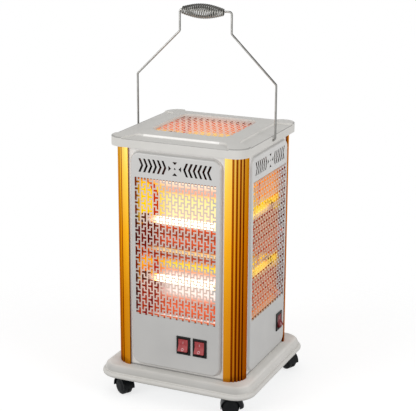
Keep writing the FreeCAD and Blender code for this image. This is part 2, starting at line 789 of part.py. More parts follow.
# Milky quartz tube across the heater at a place in the upright plane.
def build_tube(label, turn, y, z, half):
    tube = new_body(label, turned(turn))
    section = new_sketch(tube, "section", "YZ_Plane")
    draw_circle(section, y, z, tube_diameter)
    pad(tube, section, half * 2, both_ways=True)
    return tube


# Ceramic cap on the end of a tube that points along +X, with its collar's face at the origin.
def cap_shape():
    inside = cap_length - cap_collar_width
    barrel = Part.makeCylinder(cap_diameter / 2, cap_length, Vector(-inside, 0, 0), Vector(1, 0, 0))
    collar = Part.makeCylinder(cap_collar / 2, cap_collar_width, Vector(), Vector(1, 0, 0))
    socket = Part.makeCylinder((tube_diameter + fit_gap) / 2, cap_socket, Vector(-inside, 0, 0),
                               Vector(1, 0, 0))
    return barrel.fuse(collar).cut(socket)


def build_caps(label, turn, y, heights, wall):
    caps = []
    for z in heights:
        for side in (0, 180):
            cap = cap_shape()
            cap.translate(Vector(wall, 0, 0))
            cap.rotate(Vector(), Vector(0, 0, 1), side)
            cap.translate(Vector(0, y, z))
            caps.append(cap)
    return new_solid(label, Part.makeCompound(caps), turned(turn))


side_wall = trough_half + mirror_sheet
tube_half = side_wall - cap_length + cap_collar_width + cap_socket - fit_gap
side_turns = (("front", 0), ("right", 90), ("rear", 180), ("left", 270))
for side, turn in side_turns:
    build_reflector(f"{side}_reflector", turn)
    build_tube(f"{side}_upper_tube", turn, tube_depth - field_plane, upper_tube, tube_half)
    build_tube(f"{side}_lower_tube", turn, tube_depth - field_plane, lower_tube, tube_half)
    build_caps(f"{side}_tube_caps", turn, tube_depth - field_plane, (upper_tube, lower_tube),
               side_wall)

# Top frame: a skirt over the columns, a crown that rises to the window, a scoop along each side.
frame = new_body("top_frame")
frame_half = frame_width / 2
skirt = new_sketch(frame, "skirt", "XY_Plane", skirt_bottom)
draw_rounded_square(skirt, frame_half, frame_corner)
pad(frame, skirt, skirt_drop + frame_top)
round_edges(frame, "shoulder_round", frame_round, level_edge(frame_shoulder, 0))
crown_foot = new_sketch(frame, "crown_foot", "XY_Plane", frame_shoulder)
draw_rounded_square(crown_foot, frame_half - crown_margin, frame_corner - crown_margin)
crown_brow = new_sketch(frame, "crown_brow", "XY_Plane", window_rim)
draw_rounded_square(crown_brow, window_width / 2 + frame_round, window_corner + frame_round)
loft(frame, "AdditiveLoft", crown_foot, crown_brow)
scoop = frame.newObject("PartDesign::SubtractiveWedge", "top_frame_scoop")
scoop.AttachmentSupport = [(origin_feature(frame, "XY_Plane"), "")]
scoop.MapMode = "FlatFace"
slope = crown_rise / (frame_half - crown_margin - window_width / 2 - frame_round)
scoop_foot = frame_shoulder + slope * (scoop_reach - crown_margin) - scoop_step
scoop_sizes = {
    "Xmin": -scoop_outer / 2, "Xmax": scoop_outer / 2,
    "X2min": -scoop_inner / 2, "X2max": scoop_inner / 2,
    "Ymin": -frame_half, "Ymax": scoop_reach - frame_half,
    "Zmin": frame_shoulder - scoop_drop, "Zmax": window_rim + crown_rise,
    "Z2min": scoop_foot, "Z2max": window_rim + crown_rise,
}
for name, value in scoop_sizes.items():
    scoop.setExpression(name, formula_of(value))
scoops = frame.newObject("PartDesign::PolarPattern", "top_frame_scoops")
scoops.Originals = [scoop]
scoops.Axis = (origin_feature(frame, "Z_Axis"), [""])
scoops.Angle = 360
scoops.Occurrences = 4
frame.Tip = scoops
round_edges(frame, "scoop_round", scoop_round, level_edge(scoop_foot, 0))
under = new_sketch(frame, "under", "XY_Plane", skirt_bottom)
draw_rounded_square(under, body_half + fit_gap, column_corner + fit_gap)
pocket(frame, under, skirt_drop, backwards=True)
seat = new_sketch(frame, "grille_seat", "XY_Plane", body_top)
seat_half = window_width / 2 + window_lip
draw_box(seat, -seat_half, seat_half, -seat_half, seat_half)
pocket(frame, seat, top_grille_face - body_top, backwards=True)
window = new_sketch(frame, "window", "XY_Plane", window_rim + crown_rise)
draw_rounded_square(window, window_width / 2, window_corner)
pocket(frame, window)
pivots = new_sketch(frame, "pivots", "YZ_Plane")
draw_circle(pivots, 0, bail_height, bail_wire + running_gap * 2)
pocket(frame, pivots, frame_width + bail_wire, both_ways=True)

# Top grille: one sheet, pierced like the panels, seated under the frame's window.
grille_half = seat_half - fit_gap
top_width = tee_across * 4 * top_columns - tee_across
top_depth = tee_up * 8 * top_rows
corner = [(-grille_half, -grille_half), (grille_half, -grille_half), (grille_half, grille_half),
          (-grille_half, grille_half)]


def level_wire(outline, shift_x, shift_y):
    corners = [Vector(x + shift_x, y + shift_y, top_grille_face - panel_sheet) for x, y in outline]
    return Part.makePolygon(corners + corners[:1])


top_holes = [level_wire(outline, -top_width / 2, -top_depth / 2)
             for outline in tee_outlines(int(top_columns), int(top_rows))]
top_face = holed_face(level_wire(corner, 0, 0), top_holes)
new_solid("top_grille", top_face.extrude(Vector(0, 0, panel_sheet)))

# Reflector under the top grille: one trough with closed ends and a flange against the grille.
top_mirror = new_body("top_reflector")
top_back = top_grille_face - panel_sheet
mouth_half = top_depth / 2
bend = top_mirror_back / 2
top_end = top_width / 2
shell = new_sketch(top_mirror, "shell", "YZ_Plane")
draw_outline(shell, [(-mouth_half - mirror_sheet, top_back),
                     (-bend - mirror_sheet, top_back - top_mirror_depth - mirror_sheet),
                     (bend + mirror_sheet, top_back - top_mirror_depth - mirror_sheet),
                     (mouth_half + mirror_sheet, top_back)])
pad(top_mirror, shell, (top_end + mirror_sheet) * 2, both_ways=True)
inside = new_sketch(top_mirror, "inside", "YZ_Plane")
draw_outline(inside, [(-mouth_half, top_back), (-bend, top_back - top_mirror_depth),
                      (bend, top_back - top_mirror_depth), (mouth_half, top_back)])
pocket(top_mirror, inside, top_end * 2, both_ways=True)
rim = new_sketch(top_mirror, "rim", "XY_Plane", top_back - mirror_sheet)
draw_box(rim, -top_end - mirror_flange * 2, top_end + mirror_flange * 2,
         -mouth_half - mirror_flange * 2, mouth_half + mirror_flange * 2)
draw_box(rim, -top_end, top_end, -mouth_half, mouth_half)
pad(top_mirror, rim, mirror_sheet)
ends = new_sketch(top_mirror, "tube_holes", "YZ_Plane")
draw_circle(ends, 0, top_back - top_tube_depth, cap_diameter + fit_gap)
pocket(top_mirror, ends, (top_end + mirror_sheet * 2) * 2, both_ways=True)
top_wall = top_end + mirror_sheet
build_tube("top_tube", 0, Size(0), top_back - top_tube_depth,
           top_wall - cap_length + cap_collar_width + cap_socket - fit_gap)
build_caps("top_tube_caps", 0, 0, (top_back - top_tube_depth,), top_wall)


# Rocker switch at a place along its side: a housing with a bezel, and the rocker that tilts in it.
def build_switch(label, turn, x):
    housing = new_body(f"{label}_switch", turned(turn))
    half_width = bezel_width / 2
    half_height = bezel_height / 2
    box = new_sketch(housing, "box", "XZ_Plane", field_plane, x, switch_height)
    draw_box(box, switch_wall - half_width, half_width - switch_wall, switch_wall - half_height,
             half_height - switch_wall)
    pad(housing, box, switch_depth, backwards=True)
    bezel = new_sketch(housing, "bezel", "XZ_Plane", field_plane, x, switch_height)
    draw_box(bezel, -half_width, half_width, -half_height, half_height)
    pad(housing, bezel, bezel_thickness)
    round_edges(housing, "bezel_round", bezel_round, facing_edge(-field_plane - bezel_thickness))
    well = new_sketch(housing, "well", "XZ_Plane", field_plane + bezel_thickness, x, switch_height)
    well_half = rocker_width / 2 + running_gap
    well_tall = rocker_height / 2 + rocker_dish
    draw_box(well, -well_half, well_half, -well_tall, well_tall)
    pocket(housing, well, bezel_thickness + switch_depth - switch_wall)
    pin_y = pivot_depth - field_plane - bezel_thickness
    pins = new_sketch(housing, "pivot", "YZ_Plane", x, pin_y, switch_height)
    draw_circle(pins, 0, 0, pivot_pin + running_gap)
    pocket(housing, pins, bezel_width, both_ways=True)

    rocker = new_body(f"{label}_rocker", turned(turn))
    face = -pivot_depth
    end = rocker_height / 2
    back = rocker_body - pivot_depth
    side = new_sketch(rocker, "side", "YZ_Plane", x, pin_y, switch_height, -rocker_tilt)
    draw_outline(side, [(face, 0), (face - rocker_dish, end), (face + rocker_dish, end),
                        (back, end / 2), (back, -end / 2), (face + rocker_dish, -end),
                        (face - rocker_dish, -end)])
    pad(rocker, side, rocker_width, both_ways=True)
    pin = new_sketch(rocker, "pin", "YZ_Plane", x, pin_y, switch_height)
    draw_circle(pin, 0, 0, pivot_pin)
    pad(rocker, pin, rocker_width + running_gap * 2 + switch_wall, both_ways=True)


build_switch("front_inner", 0, pair_places[0])
build_switch("front_outer", 0, pair_places[1])
for side, turn in side_turns[1:]:
    build_switch(side, turn, single_offset)


# Caster: a hood with its stem on the swivel axis, and two domed wheels on one axle behind it.
def build_caster(label, x, y, heading):
    place = Placement(Vector(x, y, 0), Rotation(Vector(0, 0, 1), heading))
    hood = new_body(f"{label}_caster_hood", place)
    half_span = hood_web / 2 + running_gap + wheel_width
    hood_radius = wheel_radius + running_gap + hood_wall
    drum = new_sketch(hood, "drum", "XZ_Plane", 0, caster_trail, wheel_radius)
    draw_circle(drum, 0, 0, hood_radius * 2)
    pad(hood, drum, half_span * 2, both_ways=True)
    nose = new_sketch(hood, "nose", "XZ_Plane")
    crest = wheel_radius + hood_radius
    collar_top = ground_clearance - running_gap
    stem = stem_diameter / 2
    draw_outline(nose, [(0, hood_lip), (hood_nose, hood_lip), (hood_nose, wheel_radius + hood_wall),
                        (stem_collar / 2, crest), (stem_collar / 2, collar_top),
                        (stem, collar_top), (stem, ground_clearance + stem_length),
                        (0, ground_clearance + stem_length)])
    revolve(hood, nose)
    below = new_sketch(hood, "below", "XZ_Plane")
    draw_box(below, -wheel_diameter, wheel_diameter + caster_trail, -wheel_radius, hood_lip)
    pocket(hood, below, wheel_diameter * 2, both_ways=True)
    cavity = new_sketch(hood, "cavity", "XZ_Plane", hood_web / 2, caster_trail, wheel_radius)
    draw_circle(cavity, 0, 0, wheel_diameter + running_gap * 2)
    clear = pocket(hood, cavity, wheel_diameter, backwards=True)
    both = hood.newObject("PartDesign::Mirrored", f"{hood.Name}_cavities")
    both.Originals = [clear]
    both.MirrorPlane = (origin_feature(hood, "XZ_Plane"), [""])
    hood.Tip = both
    axle = new_sketch(hood, "axle", "XZ_Plane", 0, caster_trail, wheel_radius)
    draw_circle(axle, 0, 0, axle_diameter + running_gap)
    pocket(hood, axle, hood_web * 2, both_ways=True)

    wheels = new_body(f"{label}_caster_wheels",
                      place * Placement(Vector(caster_trail, 0, wheel_radius), Rotation()))
    half = new_sketch(wheels, "profile", "XY_Plane")
    inner = hood_web / 2 + running_gap
    outer = inner + wheel_width
    spindle = axle_diameter / 2
    tread = outer - wheel_dome * 2
    profile = [(wheel_radius, tread), (wheel_radius - wheel_dome, outer - wheel_dome),
               (wheel_radius / 2, outer)]
    draw_outline(half, [(0, -outer)] + [(x, -y) for x, y in reversed(profile)]
                 + [(wheel_radius, -inner), (spindle, -inner), (spindle, inner),
                    (wheel_radius, inner)] + profile + [(0, outer)])
    revolve(wheels, half)


corner_half = caster_spread / 2
build_caster("front_left", -corner_half, -corner_half, -30)
build_caster("front_right", corner_half, -corner_half, 205)
build_caster("rear_right", corner_half, corner_half, -25)
build_caster("rear_left", -corner_half, corner_half, 160)


# A round wire bent through points: straight runs joined by tangent arcs of one radius.
def bent_path(points, radius):
    edges = []
    start = points[0]
    for before, corner_point, after in zip(points, points[1:], points[2:]):
        back = (before - corner_point).normalize()
        ahead = (after - corner_point).normalize()
        half_angle = back.getAngle(ahead) / 2
        setback = radius / math.tan(half_angle)
        middle_way = (back + ahead).normalize()
        centre = corner_point + middle_way * (radius / math.sin(half_angle))
        enter = corner_point + back * setback
        leave = corner_point + ahead * setback
        edges.append(Part.LineSegment(start, enter).toShape())
        edges.append(Part.Arc(enter, centre - middle_way * radius, leave).toShape())
        start = leave
    edges.append(Part.LineSegment(start, points[-1]).toShape())
    return Part.Wire(edges)


def wire_along(path, diameter):
    first = path.OrderedEdges[0]
    start = first.valueAt(first.FirstParameter)
    section = Part.Wire([Part.Circle(start, first.tangentAt(first.FirstParameter),
                                     diameter / 2).toShape()])
    return path.makePipeShell([section], True, False)


# Bail: hooked ends through the skirt, legs, slanted shoulders, necks and the top bar.
bail_top = bail_height + bail_leg + bail_shoulder + bail_neck
right_side = [Vector(bail_span / 2 - bail_hook, 0, bail_height),
              Vector(bail_span / 2, 0, bail_height),
              Vector(bail_span / 2, 0, bail_height + bail_leg),
              Vector(grip_span / 2, 0, bail_height + bail_leg + bail_shoulder),
              Vector(grip_span / 2, 0, bail_top)]
left_side = [Vector(-point.x, 0, point.z) for point in reversed(right_side)]
new_solid("handle_wire", wire_along(bent_path(right_side + left_side, bail_bend), bail_wire))


# Barrel coil of one wire: the turns' radius swells from the ends to the middle. Points each quarter
# of a turn are joined by pairs of arcs that share a tangent.
def coil_point(turn):
    share = turn / grip_turns
    along = (share - 0.5) * (grip_length - grip_wire)
    swell = math.sin(math.pi * share)
    end_radius = (grip_end - grip_wire) / 2
    radius = end_radius + (grip_middle - grip_end) / 2 * swell
    angle = 2 * math.pi * turn
    return Vector(along, radius * math.sin(angle), radius * math.cos(angle))


def coil_tangent(turn):
    step = 1e-4
    return (coil_point(turn + step) - coil_point(turn - step)).normalize()


def arc_between(start, tangent, finish):
    chord = finish - start
    side = chord - tangent * chord.dot(tangent)
    side.normalize()
    radius = chord.dot(chord) / (2 * chord.dot(side))
    centre = start + side * radius
    middle = ((start - centre) + (finish - centre)).normalize()
    return Part.Arc(start, centre + middle * radius, finish), radius


def coil_path():
    edges = []
    tightest = math.inf
    quarters = int(grip_turns) * 4
    for index in range(quarters):
        start = coil_point(index / 4)
        finish = coil_point((index + 1) / 4)
        leaving = coil_tangent(index / 4)
        arriving = coil_tangent((index + 1) / 4)
        chord = finish - start
        both = leaving + arriving
        bend_share = 2 * (1 - leaving.dot(arriving))
        reach = (math.sqrt(chord.dot(both) ** 2 + bend_share * chord.dot(chord))
                 - chord.dot(both)) / bend_share
        joint = (start + finish + (leaving - arriving) * reach) * 0.5
        first, first_radius = arc_between(start, leaving, joint)
        second, second_radius = arc_between(finish, arriving * -1, joint)
        edges.append(first.toShape())
        edges.append(second.toShape())
        tightest = min(tightest, first_radius, second_radius)
    return Part.Wire(Part.__sortEdges__(edges)), tightest


# Least gap between the wire and itself, from points a twelfth of a turn apart.
def coil_gap():
    count = int(grip_turns) * 12
    points = [coil_point(index / 12) for index in range(count + 1)]
    near = min((first - second).Length for index, first in enumerate(points)
               for second in points[index + 7:index + 18])
    return near - grip_wire


coil, tightest_bend = coil_path()
grip_shape = wire_along(coil, grip_wire)
expected = math.pi * (grip_wire / 2) ** 2 * coil.Length
print("grip: least gap to itself", round(coil_gap(), 3), "tightest bend", round(tightest_bend, 3))
print("grip: volume", round(grip_shape.Volume, 1), "expected", round(expected, 1))
grip_hang = (grip_end / 2 - grip_wire) - bail_wire / 2 - running_gap
grip_start = grip_length / 2 - grip_span / 2 + bail_wire / 2 + running_gap
new_solid("handle_grip", grip_shape, Placement(Vector(grip_start, 0, bail_top - grip_hang), Rotation()))

# Cord gland in the rear panel: a flanged bush with a bore for the cord.
gland = new_body("cord_gland", turned(180)
                 * Placement(Vector(gland_offset, -field_plane, gland_height), Rotation()))
profile = new_sketch(gland, "profile", "XY_Plane")
bore = gland_bore / 2
draw_outline(profile, [(bore, gland_nose), (bore, -gland_flange_width * 2),
                       (gland_body / 2 - gland_taper, -gland_flange_width * 2),
                       (gland_flange / 2, -gland_flange_width), (gland_flange / 2, 0),
                       (gland_body / 2, 0), (gland_body / 2, gland_nose)])
revolve(gland, profile)

doc.recompute()
broken = [item.Name for item in doc.Objects if "Invalid" in item.State or "Error" in item.State]
if broken:
    raise RuntimeError(f"failed objects: {broken}")
os.makedirs("parts", exist_ok=True)
for subpart in subparts:
    shape = subpart.Shape
    if shape.isNull() or not shape.isValid():
        raise RuntimeError(f"{subpart.Label} has no valid shape")
    shape.exportStep(f"parts/{subpart.Label}.step")
print(len(subparts), "pieces")
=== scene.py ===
import math

import bpy
from mathutils import Matrix, Vector


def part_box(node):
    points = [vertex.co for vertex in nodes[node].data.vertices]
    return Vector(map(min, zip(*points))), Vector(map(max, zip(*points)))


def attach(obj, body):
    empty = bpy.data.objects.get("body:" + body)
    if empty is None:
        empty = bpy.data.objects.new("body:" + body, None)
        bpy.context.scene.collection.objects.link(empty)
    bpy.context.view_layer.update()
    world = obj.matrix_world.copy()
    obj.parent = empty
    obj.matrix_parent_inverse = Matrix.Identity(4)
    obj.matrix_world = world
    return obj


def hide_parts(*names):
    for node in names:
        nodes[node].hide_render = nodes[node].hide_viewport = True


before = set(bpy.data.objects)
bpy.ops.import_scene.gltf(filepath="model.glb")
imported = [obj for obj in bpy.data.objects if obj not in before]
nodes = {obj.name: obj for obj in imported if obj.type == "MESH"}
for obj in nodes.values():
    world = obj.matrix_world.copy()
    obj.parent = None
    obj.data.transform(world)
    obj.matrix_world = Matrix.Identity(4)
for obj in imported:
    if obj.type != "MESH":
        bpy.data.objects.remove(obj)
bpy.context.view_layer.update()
mm = 0.001
print("frame loaded,", len(nodes), "nodes")


def linear(code):  # sRGB hex to linear colour
    shares = [int(code[start:start + 2], 16) / 255 for start in (1, 3, 5)]
    return [s / 12.92 if s <= 0.04045 else ((s + 0.055) / 1.055) ** 2.4 for s in shares] + [1.0]


def put(tree, kind, feeds=None, stops=None, **settings):  # one node, with its settings and links
    node = tree.nodes.new(kind)
    for name, value in settings.items():
        setattr(node, name, value)
    for socket, value in (feeds or {}).items():
        if isinstance(value, bpy.types.Node):  # a node stands for its first output
            tree.links.new(value.outputs[0], node.inputs[socket])
        elif isinstance(value, bpy.types.NodeSocket):
            tree.links.new(value, node.inputs[socket])
        else:
            node.inputs[socket].default_value = value
    for index, (place, code) in enumerate(stops or ()):
        row = node.color_ramp.elements
        step = row[index] if index < 2 else row.new(place)
        step.position = place
        step.color = linear(code)
    return node


def startMaterial(name):
    material = bpy.data.materials.new(name)
    material.use_nodes = True
    material.node_tree.nodes.clear()
    return material, material.node_tree


def endMaterial(tree, shader):
    put(tree, "ShaderNodeOutputMaterial", {"Surface": shader})


def dress(material, *names):
    for name in names:
        slots = nodes[name].data.materials
        slots.clear()
        slots.append(material)


# Camera of the photograph, worked out from the grille's straight rows and the body's corners.
camera = {"place": (0.8408, -1.8715, 0.9221), "target": (0.00495, 0.00235, 0.32209),
          "lens": 107.42, "sensor": 36.0, "roll": 0.28}


def makeCamera():
    data = bpy.data.cameras.new("camera")
    data.lens = camera["lens"]
    data.sensor_width = camera["sensor"]
    eye = bpy.data.objects.new("camera", data)
    bpy.context.scene.collection.objects.link(eye)
    look = Vector(camera["target"]) - Vector(camera["place"])
    turn = look.to_track_quat("-Z", "Y").to_matrix().to_4x4()
    roll = Matrix.Rotation(math.radians(camera["roll"]), 4, "Z")
    eye.matrix_world = Matrix.Translation(Vector(camera["place"])) @ turn @ roll
    bpy.context.scene.camera = eye


makeCamera()
print("camera placed")

# Studio: a broad soft lamp in front, one at the right, a weak one behind and above, and a white
# surround. A lamp has its name, place, width in metres and power in watts.
studio = {"ambient": 0.5, "aim": (0, 0, 0.3), "floorShade": "#A8A8A8", "floorLift": 0.72,
          "floorReach": 1.3, "floorFade": (0.375, 0.75), "floorSides": 64, "floorDrop": 0.2 * mm,
          "lamps": (("frontLamp", (-1.5, -2.6, 1.0), 1.5, 44.0),
                    ("sideLamp", (2.4, -0.6, 1.1), 1.2, 24.0),
                    ("topLamp", (-0.6, 0.9, 2.3), 1.0, 3.0))}


def makeLamps():
    for name, place, width, power in studio["lamps"]:
        data = bpy.data.lights.new(name, "AREA")
        data.size = width
        data.energy = power
        lamp = bpy.data.objects.new(name, data)
        bpy.context.scene.collection.objects.link(lamp)
        aim = Vector(studio["aim"]) - Vector(place)
        lamp.location = place
        lamp.rotation_euler = aim.to_track_quat("-Z", "Y").to_euler()


def shownToEye(tree):  # 1 for rays that come from the camera, a mirror or glass
    rays = put(tree, "ShaderNodeLightPath").outputs
    first = put(tree, "ShaderNodeMath", {0: rays["Is Camera Ray"], 1: rays["Is Glossy Ray"]},
                operation="MAXIMUM")
    return put(tree, "ShaderNodeMath", {0: first, 1: rays["Is Transmission Ray"]}, operation="MAXIMUM")


def makeSurround():
    world = bpy.data.worlds.new("whiteSurround")
    world.use_nodes = True
    tree = world.node_tree
    tree.nodes.clear()
    level = put(tree, "ShaderNodeMapRange", {"Value": shownToEye(tree), "To Min": studio["ambient"],
                                             "To Max": 1.0})
    sky = put(tree, "ShaderNodeBackground", {"Color": (1, 1, 1, 1), "Strength": level})
    put(tree, "ShaderNodeOutputWorld", {"Surface": sky})
    bpy.context.scene.world = world


def makeFloor():
    reach = studio["floorReach"]
    steps = range(studio["floorSides"])
    angles = [step * math.tau / len(steps) for step in steps]
    ring = [(reach * math.cos(angle), reach * math.sin(angle), -studio["floorDrop"]) for angle in angles]
    mesh = bpy.data.meshes.new("floor")
    mesh.from_pydata(ring, [], [list(steps)])
    floor = bpy.data.objects.new("floor", mesh)
    bpy.context.scene.collection.objects.link(floor)
    material, tree = startMaterial("paperSweep")  # matt white paper that fades into the surround
    place = put(tree, "ShaderNodeTexCoord").outputs["Object"]
    away = put(tree, "ShaderNodeVectorMath", {0: place}, operation="LENGTH").outputs["Value"]
    fade = put(tree, "ShaderNodeMapRange", {"Value": away, "From Min": studio["floorFade"][0],
                                            "From Max": studio["floorFade"][1]},
               interpolation_type="SMOOTHSTEP")
    paper = put(tree, "ShaderNodeBsdfDiffuse", {"Color": linear(studio["floorShade"])})
    lift = put(tree, "ShaderNodeMath", {0: shownToEye(tree), 1: studio["floorLift"]},
               operation="MULTIPLY")
    glow = put(tree, "ShaderNodeEmission", {"Strength": lift})
    both = put(tree, "ShaderNodeAddShader", {0: paper, 1: glow})
    clear = put(tree, "ShaderNodeBsdfTransparent")
    endMaterial(tree, put(tree, "ShaderNodeMixShader", {0: fade, 1: both, 2: clear}))
    mesh.materials.append(material)


makeLamps()
makeSurround()
makeFloor()
bpy.context.scene.view_settings.view_transform = "Standard"
print("studio lit")


def mottle(tree, place, size, shades, detail=2.0, spread=(0.3, 0.7)):  # two shades in soft blotches
    cloud = put(tree, "ShaderNodeTexNoise", {"Vector": place, "Scale": 1 / size, "Detail": detail})
    tone = put(tree, "ShaderNodeValToRGB", {"Fac": cloud},
               stops=((spread[0], shades[0]), (spread[1], shades[1])))
    return cloud, tone


# Base and top frame. The rolls' painted shade and highlights go by height, from the base's foot to just
# above it.
moulding = {"shades": ("#D3D1CC", "#DAD8D4"), "drift": 70 * mm, "sheen": (0.48, 0.6),
            "grain": 1.5 * mm}  # the real grain is 0.3 mm, too fine to show
scoopStep = {"reach": 96.9 * mm, "spread": 1.7 * mm, "half": 68 * mm, "above": 456 * mm, "gain": 0.24}
shoulder = {"core": 99 * mm, "round": 24 * mm, "width": 2.0 * mm, "above": 450 * mm, "facesUp": 0.2,
            "dim": 0.58}
rolls = {"foot": 36 * mm, "clear": 60 * mm, "blend": 15 * mm, "gain": 1.25,
         "ends": ((0.0, "#DCDCDC"), (0.36, "#DEDEDE"), (0.4, "#E7E7E7"), (0.46, "#C8C8C8"),
                  (0.72, "#C6C6C6"), (0.82, "#D4D4D4"), (0.87, "#E7E7E7"), (1.0, "#E7E7E7")),
         "flanks": ((0.0, "#EAEAEA"), (0.4, "#E8E8E8"), (0.78, "#E8E8E8"), (0.87, "#FFFFFF"),
                    (1.0, "#E7E7E7"))}


# painted highlight: the pale line on the steps behind the scoops
def scoopHighlightMask(tree, axes):  # 1 on the little steps behind the front and rear scoops
    near = put(tree, "ShaderNodeMath", {0: axes["Y"], 1: scoopStep["reach"], 2: scoopStep["spread"]},
               operation="COMPARE")
    high = put(tree, "ShaderNodeMath", {0: axes["Z"], 1: scoopStep["above"]}, operation="GREATER_THAN")
    within = put(tree, "ShaderNodeMath", {0: axes["X"], 1: scoopStep["half"]}, operation="LESS_THAN")
    line = put(tree, "ShaderNodeMath", {0: near, 1: high}, operation="MULTIPLY")
    return put(tree, "ShaderNodeMath", {0: line, 1: within}, operation="MULTIPLY")


# painted shade: a dark line along the outer edge of the top's shoulder
def shoulderShadeLine(tree, apart, axes, normal):  # below 1 along the outer edge of the top's shoulder
    core = (shoulder["core"], shoulder["core"], 1.0)  # a metre up, so that height doesn't count
    beyond = put(tree, "ShaderNodeVectorMath", {0: apart, 1: core}, operation="SUBTRACT")
    corner = put(tree, "ShaderNodeVectorMath", {0: beyond, 1: (0, 0, 0)}, operation="MAXIMUM")
    away = put(tree, "ShaderNodeVectorMath", {0: corner}, operation="LENGTH").outputs["Value"]
    edge = put(tree, "ShaderNodeMath", {0: away, 1: shoulder["round"] - shoulder["width"]},
               operation="GREATER_THAN")
    upward = put(tree, "ShaderNodeSeparateXYZ", {0: normal}).outputs["Z"]
    turned = put(tree, "ShaderNodeMath", {0: upward, 1: shoulder["facesUp"]}, operation="GREATER_THAN")
    raised = put(tree, "ShaderNodeMath", {0: axes["Z"], 1: shoulder["above"]}, operation="GREATER_THAN")
    lip = put(tree, "ShaderNodeMath", {0: edge, 1: turned}, operation="MULTIPLY")
    line = put(tree, "ShaderNodeMath", {0: lip, 1: raised}, operation="MULTIPLY")
    return put(tree, "ShaderNodeMapRange", {"Value": line, "To Min": 1.0, "To Max": shoulder["dim"]})


# painted shade and painted highlights on the base's rolls, darker in front and behind, paler along the
# flanks
def rollShading(tree, axes):  # one row of tones for the base's ends and one for its flanks
    level = put(tree, "ShaderNodeMapRange", {"Value": axes["Z"], "From Min": rolls["foot"],
                                             "From Max": rolls["clear"]})
    tones = [put(tree, "ShaderNodeValToRGB", {"Fac": level}, stops=rolls[run])
             for run in ("ends", "flanks")]
    sideways = put(tree, "ShaderNodeMath", {0: axes["X"], 1: axes["Y"]}, operation="SUBTRACT")
    flank = put(tree, "ShaderNodeMapRange", {"Value": sideways, "From Min": -rolls["blend"],
                                             "From Max": rolls["blend"]})
    return put(tree, "ShaderNodeMix", {0: flank, 6: tones[0], 7: tones[1]}, data_type="RGBA").outputs[2]


# Moulded ABS: a satin shell with a faint even grain and slow changes of tone where it cooled. A painted
# highlight makes a pale line on the little step behind the front and rear scoops of the top. A painted
# shade makes a dark line along the shoulder above the skirt. The base's rolls carry painted shade and
# painted highlights by height: the upper roll is darker in front and behind, and its top is paler along
# the flanks.
def mouldedAbs():
    material, tree = startMaterial("absMouldedWarmGrey")
    spots = put(tree, "ShaderNodeTexCoord").outputs
    place = spots["Object"]
    drift, tone = mottle(tree, place, moulding["drift"], moulding["shades"])
    sheen = put(tree, "ShaderNodeMapRange", {"Value": drift, "To Min": moulding["sheen"][0],
                                             "To Max": moulding["sheen"][1]})
    grain = put(tree, "ShaderNodeTexNoise", {"Vector": place, "Scale": 1 / moulding["grain"],
                                             "Detail": 1.0})
    bump = put(tree, "ShaderNodeBump", {"Strength": 0.05, "Distance": 0.2 * mm, "Height": grain})
    apart = put(tree, "ShaderNodeVectorMath", {0: place}, operation="ABSOLUTE")
    axes = put(tree, "ShaderNodeSeparateXYZ", {0: apart}).outputs
    # painted highlight on the scoops' steps, then painted shade and highlights on the base's rolls
    pale = put(tree, "ShaderNodeVectorMath", {0: scoopHighlightMask(tree, axes), 1: (scoopStep["gain"],) * 3,
                                              2: tone}, operation="MULTIPLY_ADD")
    toned = put(tree, "ShaderNodeVectorMath", {0: pale, 1: rollShading(tree, axes)}, operation="MULTIPLY")
    # painted shade along the shoulder, with the overall gain of the rolls
    gain = put(tree, "ShaderNodeMath", {0: shoulderShadeLine(tree, apart, axes, spots["Normal"]),
                                        1: rolls["gain"]}, operation="MULTIPLY")
    shell = put(tree, "ShaderNodeVectorMath", {0: toned, "Scale": gain}, operation="SCALE")
    endMaterial(tree, put(tree, "ShaderNodeBsdfPrincipled", {
        "Base Color": shell, "Roughness": sheen, "IOR": 1.54,
        "Specular IOR Level": 0.15, "Normal": bump}))
    return material


# Reach of the grilles, and places of the tubes read from the frame.
grille = {"bottom": 154 * mm, "top": 394 * mm, "half": 73 * mm, "plane": 119.5 * mm}
topTube = (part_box("top_tube")[0].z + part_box("top_tube")[1].z) / 2
tubeOut = -(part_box("front_upper_tube")[0].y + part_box("front_upper_tube")[1].y) / 2

# Each side faces one way, and the leads of its tubes enter at one end, where the winding is cooler.
ways = {"front": (0, -1, 0), "right": (1, 0, 0), "rear": (0, 1, 0), "left": (-1, 0, 0), "top": (0, 0, 1)}
leads = {"front": (-1, 0, 0), "right": (0, 1, 0), "rear": (-1, 0, 0), "left": (0, 1, 0), "top": (-1, 0, 0)}


def towardsLeads(tree, place, side):  # distance from the middle towards the end with the leads
    return put(tree, "ShaderNodeVectorMath", {0: place, 1: leads[side]},
               operation="DOT_PRODUCT").outputs["Value"]


# Side panels. Painted tints and painted warm light on the bars go by shares of the grille's height: white
# tubes in front and behind, yellow ones at the sides. The lift is the gain of painted light at the
# grille's foot and top.
coat = {"shades": ("#B8B7B5", "#C0BFBD"), "drift": 90 * mm, "peel": 2.2 * mm, "gloss": (0.3, 0.42),
        "flange": 116 * mm, "flangeLight": "#D6D4D1", "seamLow": 58 * mm, "seamHigh": 61 * mm,
        "seamShade": 0.3, "warmth": 0.45, "warmEdge": 14 * mm, "leadFade": 10 * mm}
fullCoat = {"side": "front", "leadEnd": 90 * mm, "lift": (1.0, 1.2),
            "tints": ((0.0, "#F2EEE8"), (1.0, "#F2EEE8")),
            "bars": ((0.0, "#000000"), (0.02, "#7A3018"), (0.13, "#9A4A30"), (0.22, "#D09070"),
                     (0.31, "#C88868"), (0.4, "#8A4A28"), (0.5, "#7A3420"), (0.65, "#8A4430"),
                     (0.7, "#C89078"), (0.8, "#B88458"), (0.9, "#A06848"), (0.98, "#7A3828"),
                     (1.0, "#000000"))}
